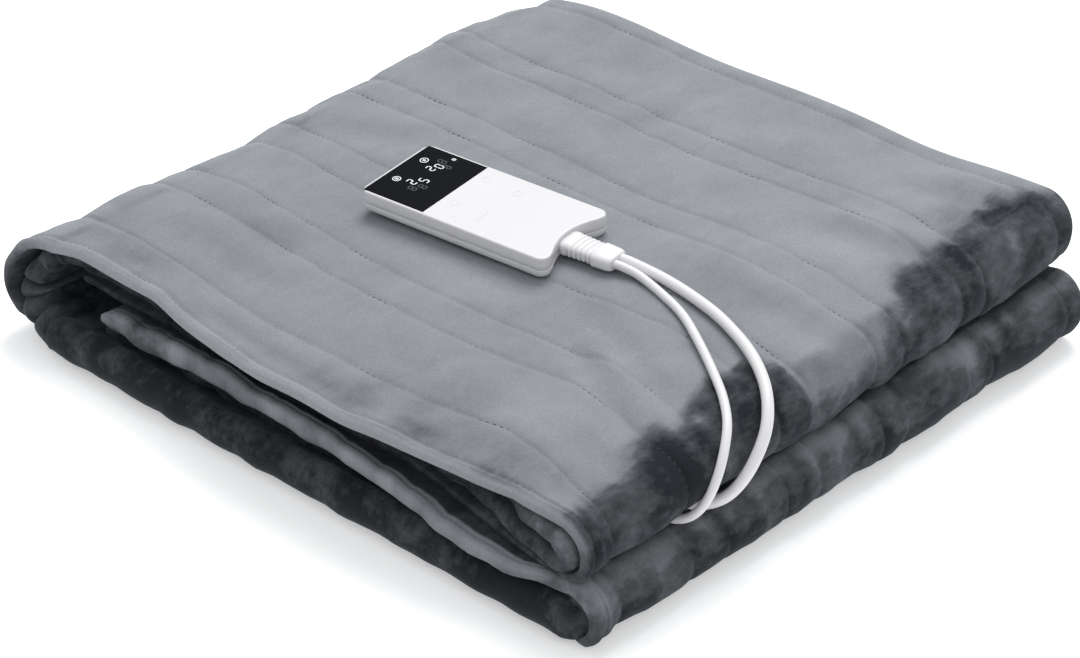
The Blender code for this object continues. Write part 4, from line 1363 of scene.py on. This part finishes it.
class BLANKET_OT_stage(bpy.types.Operator):
    """Set up the floor, the lights and the camera"""
    bl_idname = "heated_blanket.stage"
    bl_label = "Stage"

    def execute(self, context):
        size = context.scene.heated_blanket
        scene = context.scene
        scene.view_settings.view_transform = "Standard"
        floor_mesh = bpy.data.meshes.new("floor")
        bm = bmesh.new()
        bmesh.ops.create_grid(bm, x_segments=1, y_segments=1, size=FLOOR_REACH)
        bm.to_mesh(floor_mesh)
        bm.free()
        made, _ = new_material("floor_white", {
            "Base Color": (0.93, 0.93, 0.93, 1.0), "Roughness": 0.9,
            "Emission Color": (1.0, 1.0, 1.0, 1.0), "Emission Strength": 0.38})
        add_piece("floor", floor_mesh, [made])
        world = bpy.data.worlds.new("studio")
        world.use_nodes = True
        sky = world.node_tree.nodes["Background"]
        sky.inputs["Color"].default_value = (0.96, 0.98, 1.0, 1.0)
        sky.inputs["Strength"].default_value = 0.62
        scene.world = world
        for row in LIGHTS:
            light = bpy.data.lights.new(row["name"], "AREA")
            light.size = row["width"]
            light.energy = row["power"]
            lamp = bpy.data.objects.new(row["name"], light)
            place = Vector(row["place"])
            aim_along(lamp, place, LIGHTS_AIM - place)
        drop, azimuth = CAMERA_DROP, CAMERA_AZIMUTH
        look = Vector((-math.sin(azimuth) * math.cos(drop), math.cos(azimuth) * math.cos(drop),
                       -math.sin(drop)))
        camera = bpy.data.objects.new("camera", bpy.data.cameras.new("camera"))
        camera.data.lens = size.lens
        camera.data.sensor_width = 36.0
        camera.data.sensor_fit = "HORIZONTAL"
        aim_along(camera, CORNER + CAMERA_PLACE, look)
        scene.camera = camera
        return {"FINISHED"}


class BLANKET_OT_leads(bpy.types.Operator):
    """Make the mains lead with its coil, running to the plug, and the lead to the blanket"""
    bl_idname = "heated_blanket.leads"
    bl_label = "Leads"

    def execute(self, context):
        size = context.scene.heated_blanket
        points, leaves = mains_path()
        mains, length = lead("mains_cable", points, MAINS_DIAMETER, size)
        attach(mains, ROOT)
        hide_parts("mains_lead", "mains_coil", "mains_lead_end")
        points, leaves = supply_path()
        supply, length = lead("supply_cable", points, SUPPLY_DIAMETER, size)
        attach(supply, ROOT)
        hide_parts("supply_lead")
        return {"FINISHED"}


class BLANKET_OT_throw(bpy.types.Operator):
    """Make the folded throw and its stitches"""
    bl_idname = "heated_blanket.throw"
    bl_label = "Throw"

    def execute(self, context):
        size = context.scene.heated_blanket
        plush = plush_material(size)
        mesh, grid, columns, way = cloth_mesh("throw")
        throw = add_piece("throw", mesh, [plush])
        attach(throw, ROOT)
        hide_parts("blanket")
        thread = thread_material()
        chains = stitch_chains(grid, columns, way)
        stitches = stitch_rows("channel_stitches", chains, size, thread)
        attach(stitches, ROOT)
        return {"FINISHED"}


class BLANKET_OT_controller(bpy.types.Operator):
    """Finish the controller and its boot"""
    bl_idname = "heated_blanket.controller"
    bl_label = "Controller"

    def execute(self, context):
        size = context.scene.heated_blanket
        white = plastic("case_white", size.case_color[:], 0.28)
        white_lead = lead_plastic(size)
        place = case_place()
        for name, rows, replaced in (("case_upper", UPPER_ROWS, "controller_top"),
                                     ("case_lower", LOWER_ROWS, "controller_base")):
            half = case_half(name, rows, white)
            if rows is UPPER_ROWS:
                half = with_recess(half)
            half.data.transform(place)
            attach(half, ROOT)
            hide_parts(replaced)
        bm = bmesh.new()
        join_rings(bm, boot_rings())
        root = place @ Matrix.Translation((BOOT_START, 0.0, BOOT_HEIGHT))
        boot = add_piece("cable_boot", mesh_from_bmesh("cable_boot", bm, root), [white_lead])
        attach(boot, ROOT)
        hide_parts("lead_boot")
        lit = [mark for mark in DISPLAY_MARKS if mark["lit"]]
        unlit = [mark for mark in DISPLAY_MARKS if not mark["lit"]]
        glow = glow_material("mark_lit", (0.75, 0.80, 0.84), 0.55)
        # Unlit segments get a faint painted glow so that they show dimly behind the window
        dim = glow_material("mark_unlit", (0.030, 0.034, 0.042), 0.3)
        grey = plastic("key_grey", (0.66, 0.66, 0.67), 0.35)
        for name, marks, lift, made, part in (
                ("display_lit", lit, 0.00003, glow, "window"),
                ("display_unlit", unlit, 0.00003, dim, "window"),
                ("key_marks", KEY_MARKS, 0.00001, grey, "case")):
            piece = marks_piece(name, marks, CASE_TOP + lift, made, place)
            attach(piece, ROOT)
        give_material("display_window", plastic("window_black", (0.0045, 0.005, 0.0065), 0.30,
                                                700.0, 0.00001, 0.03, 0.02))
        give_material("plug_body", white_lead)
        pin = pin_material()
        for name in ("plug_pin_left", "plug_pin_right"):
            give_material(name, pin)
        give_material("coil_tie", plastic("tie_black", (0.03, 0.03, 0.03), 0.55))
        return {"FINISHED"}


class BLANKET_PT_panel(bpy.types.Panel):
    """The heated blanket's pieces"""
    bl_idname = "BLANKET_PT_panel"
    bl_label = "Heated blanket"
    bl_space_type = "VIEW_3D"
    bl_region_type = "UI"
    bl_category = "Heated blanket"

    def draw(self, context):
        size = context.scene.heated_blanket
        for name in ("plush_painted_lit", "plush_painted_shade", "case_color", "lead_color", "stitch_pitch",
                     "stitch_length", "stitch_width", "lens"):
            self.layout.prop(size, name)
        for operator in OPERATORS:
            self.layout.operator(operator.bl_idname)


OPERATORS = (BLANKET_OT_stage, BLANKET_OT_leads, BLANKET_OT_throw, BLANKET_OT_controller)
CLASSES = (BlanketSettings,) + OPERATORS + (BLANKET_PT_panel,)


def register():
    for item in CLASSES:
        bpy.utils.register_class(item)
    bpy.types.Scene.heated_blanket = PointerProperty(type=BlanketSettings)


def unregister():
    del bpy.types.Scene.heated_blanket
    for item in reversed(CLASSES):
        bpy.utils.unregister_class(item)


def main():
    """Make every piece in order."""
    register()
    bpy.ops.heated_blanket.stage()
    bpy.ops.heated_blanket.leads()
    bpy.ops.heated_blanket.throw()
    bpy.ops.heated_blanket.controller()


if __name__ == "__main__":
    main()
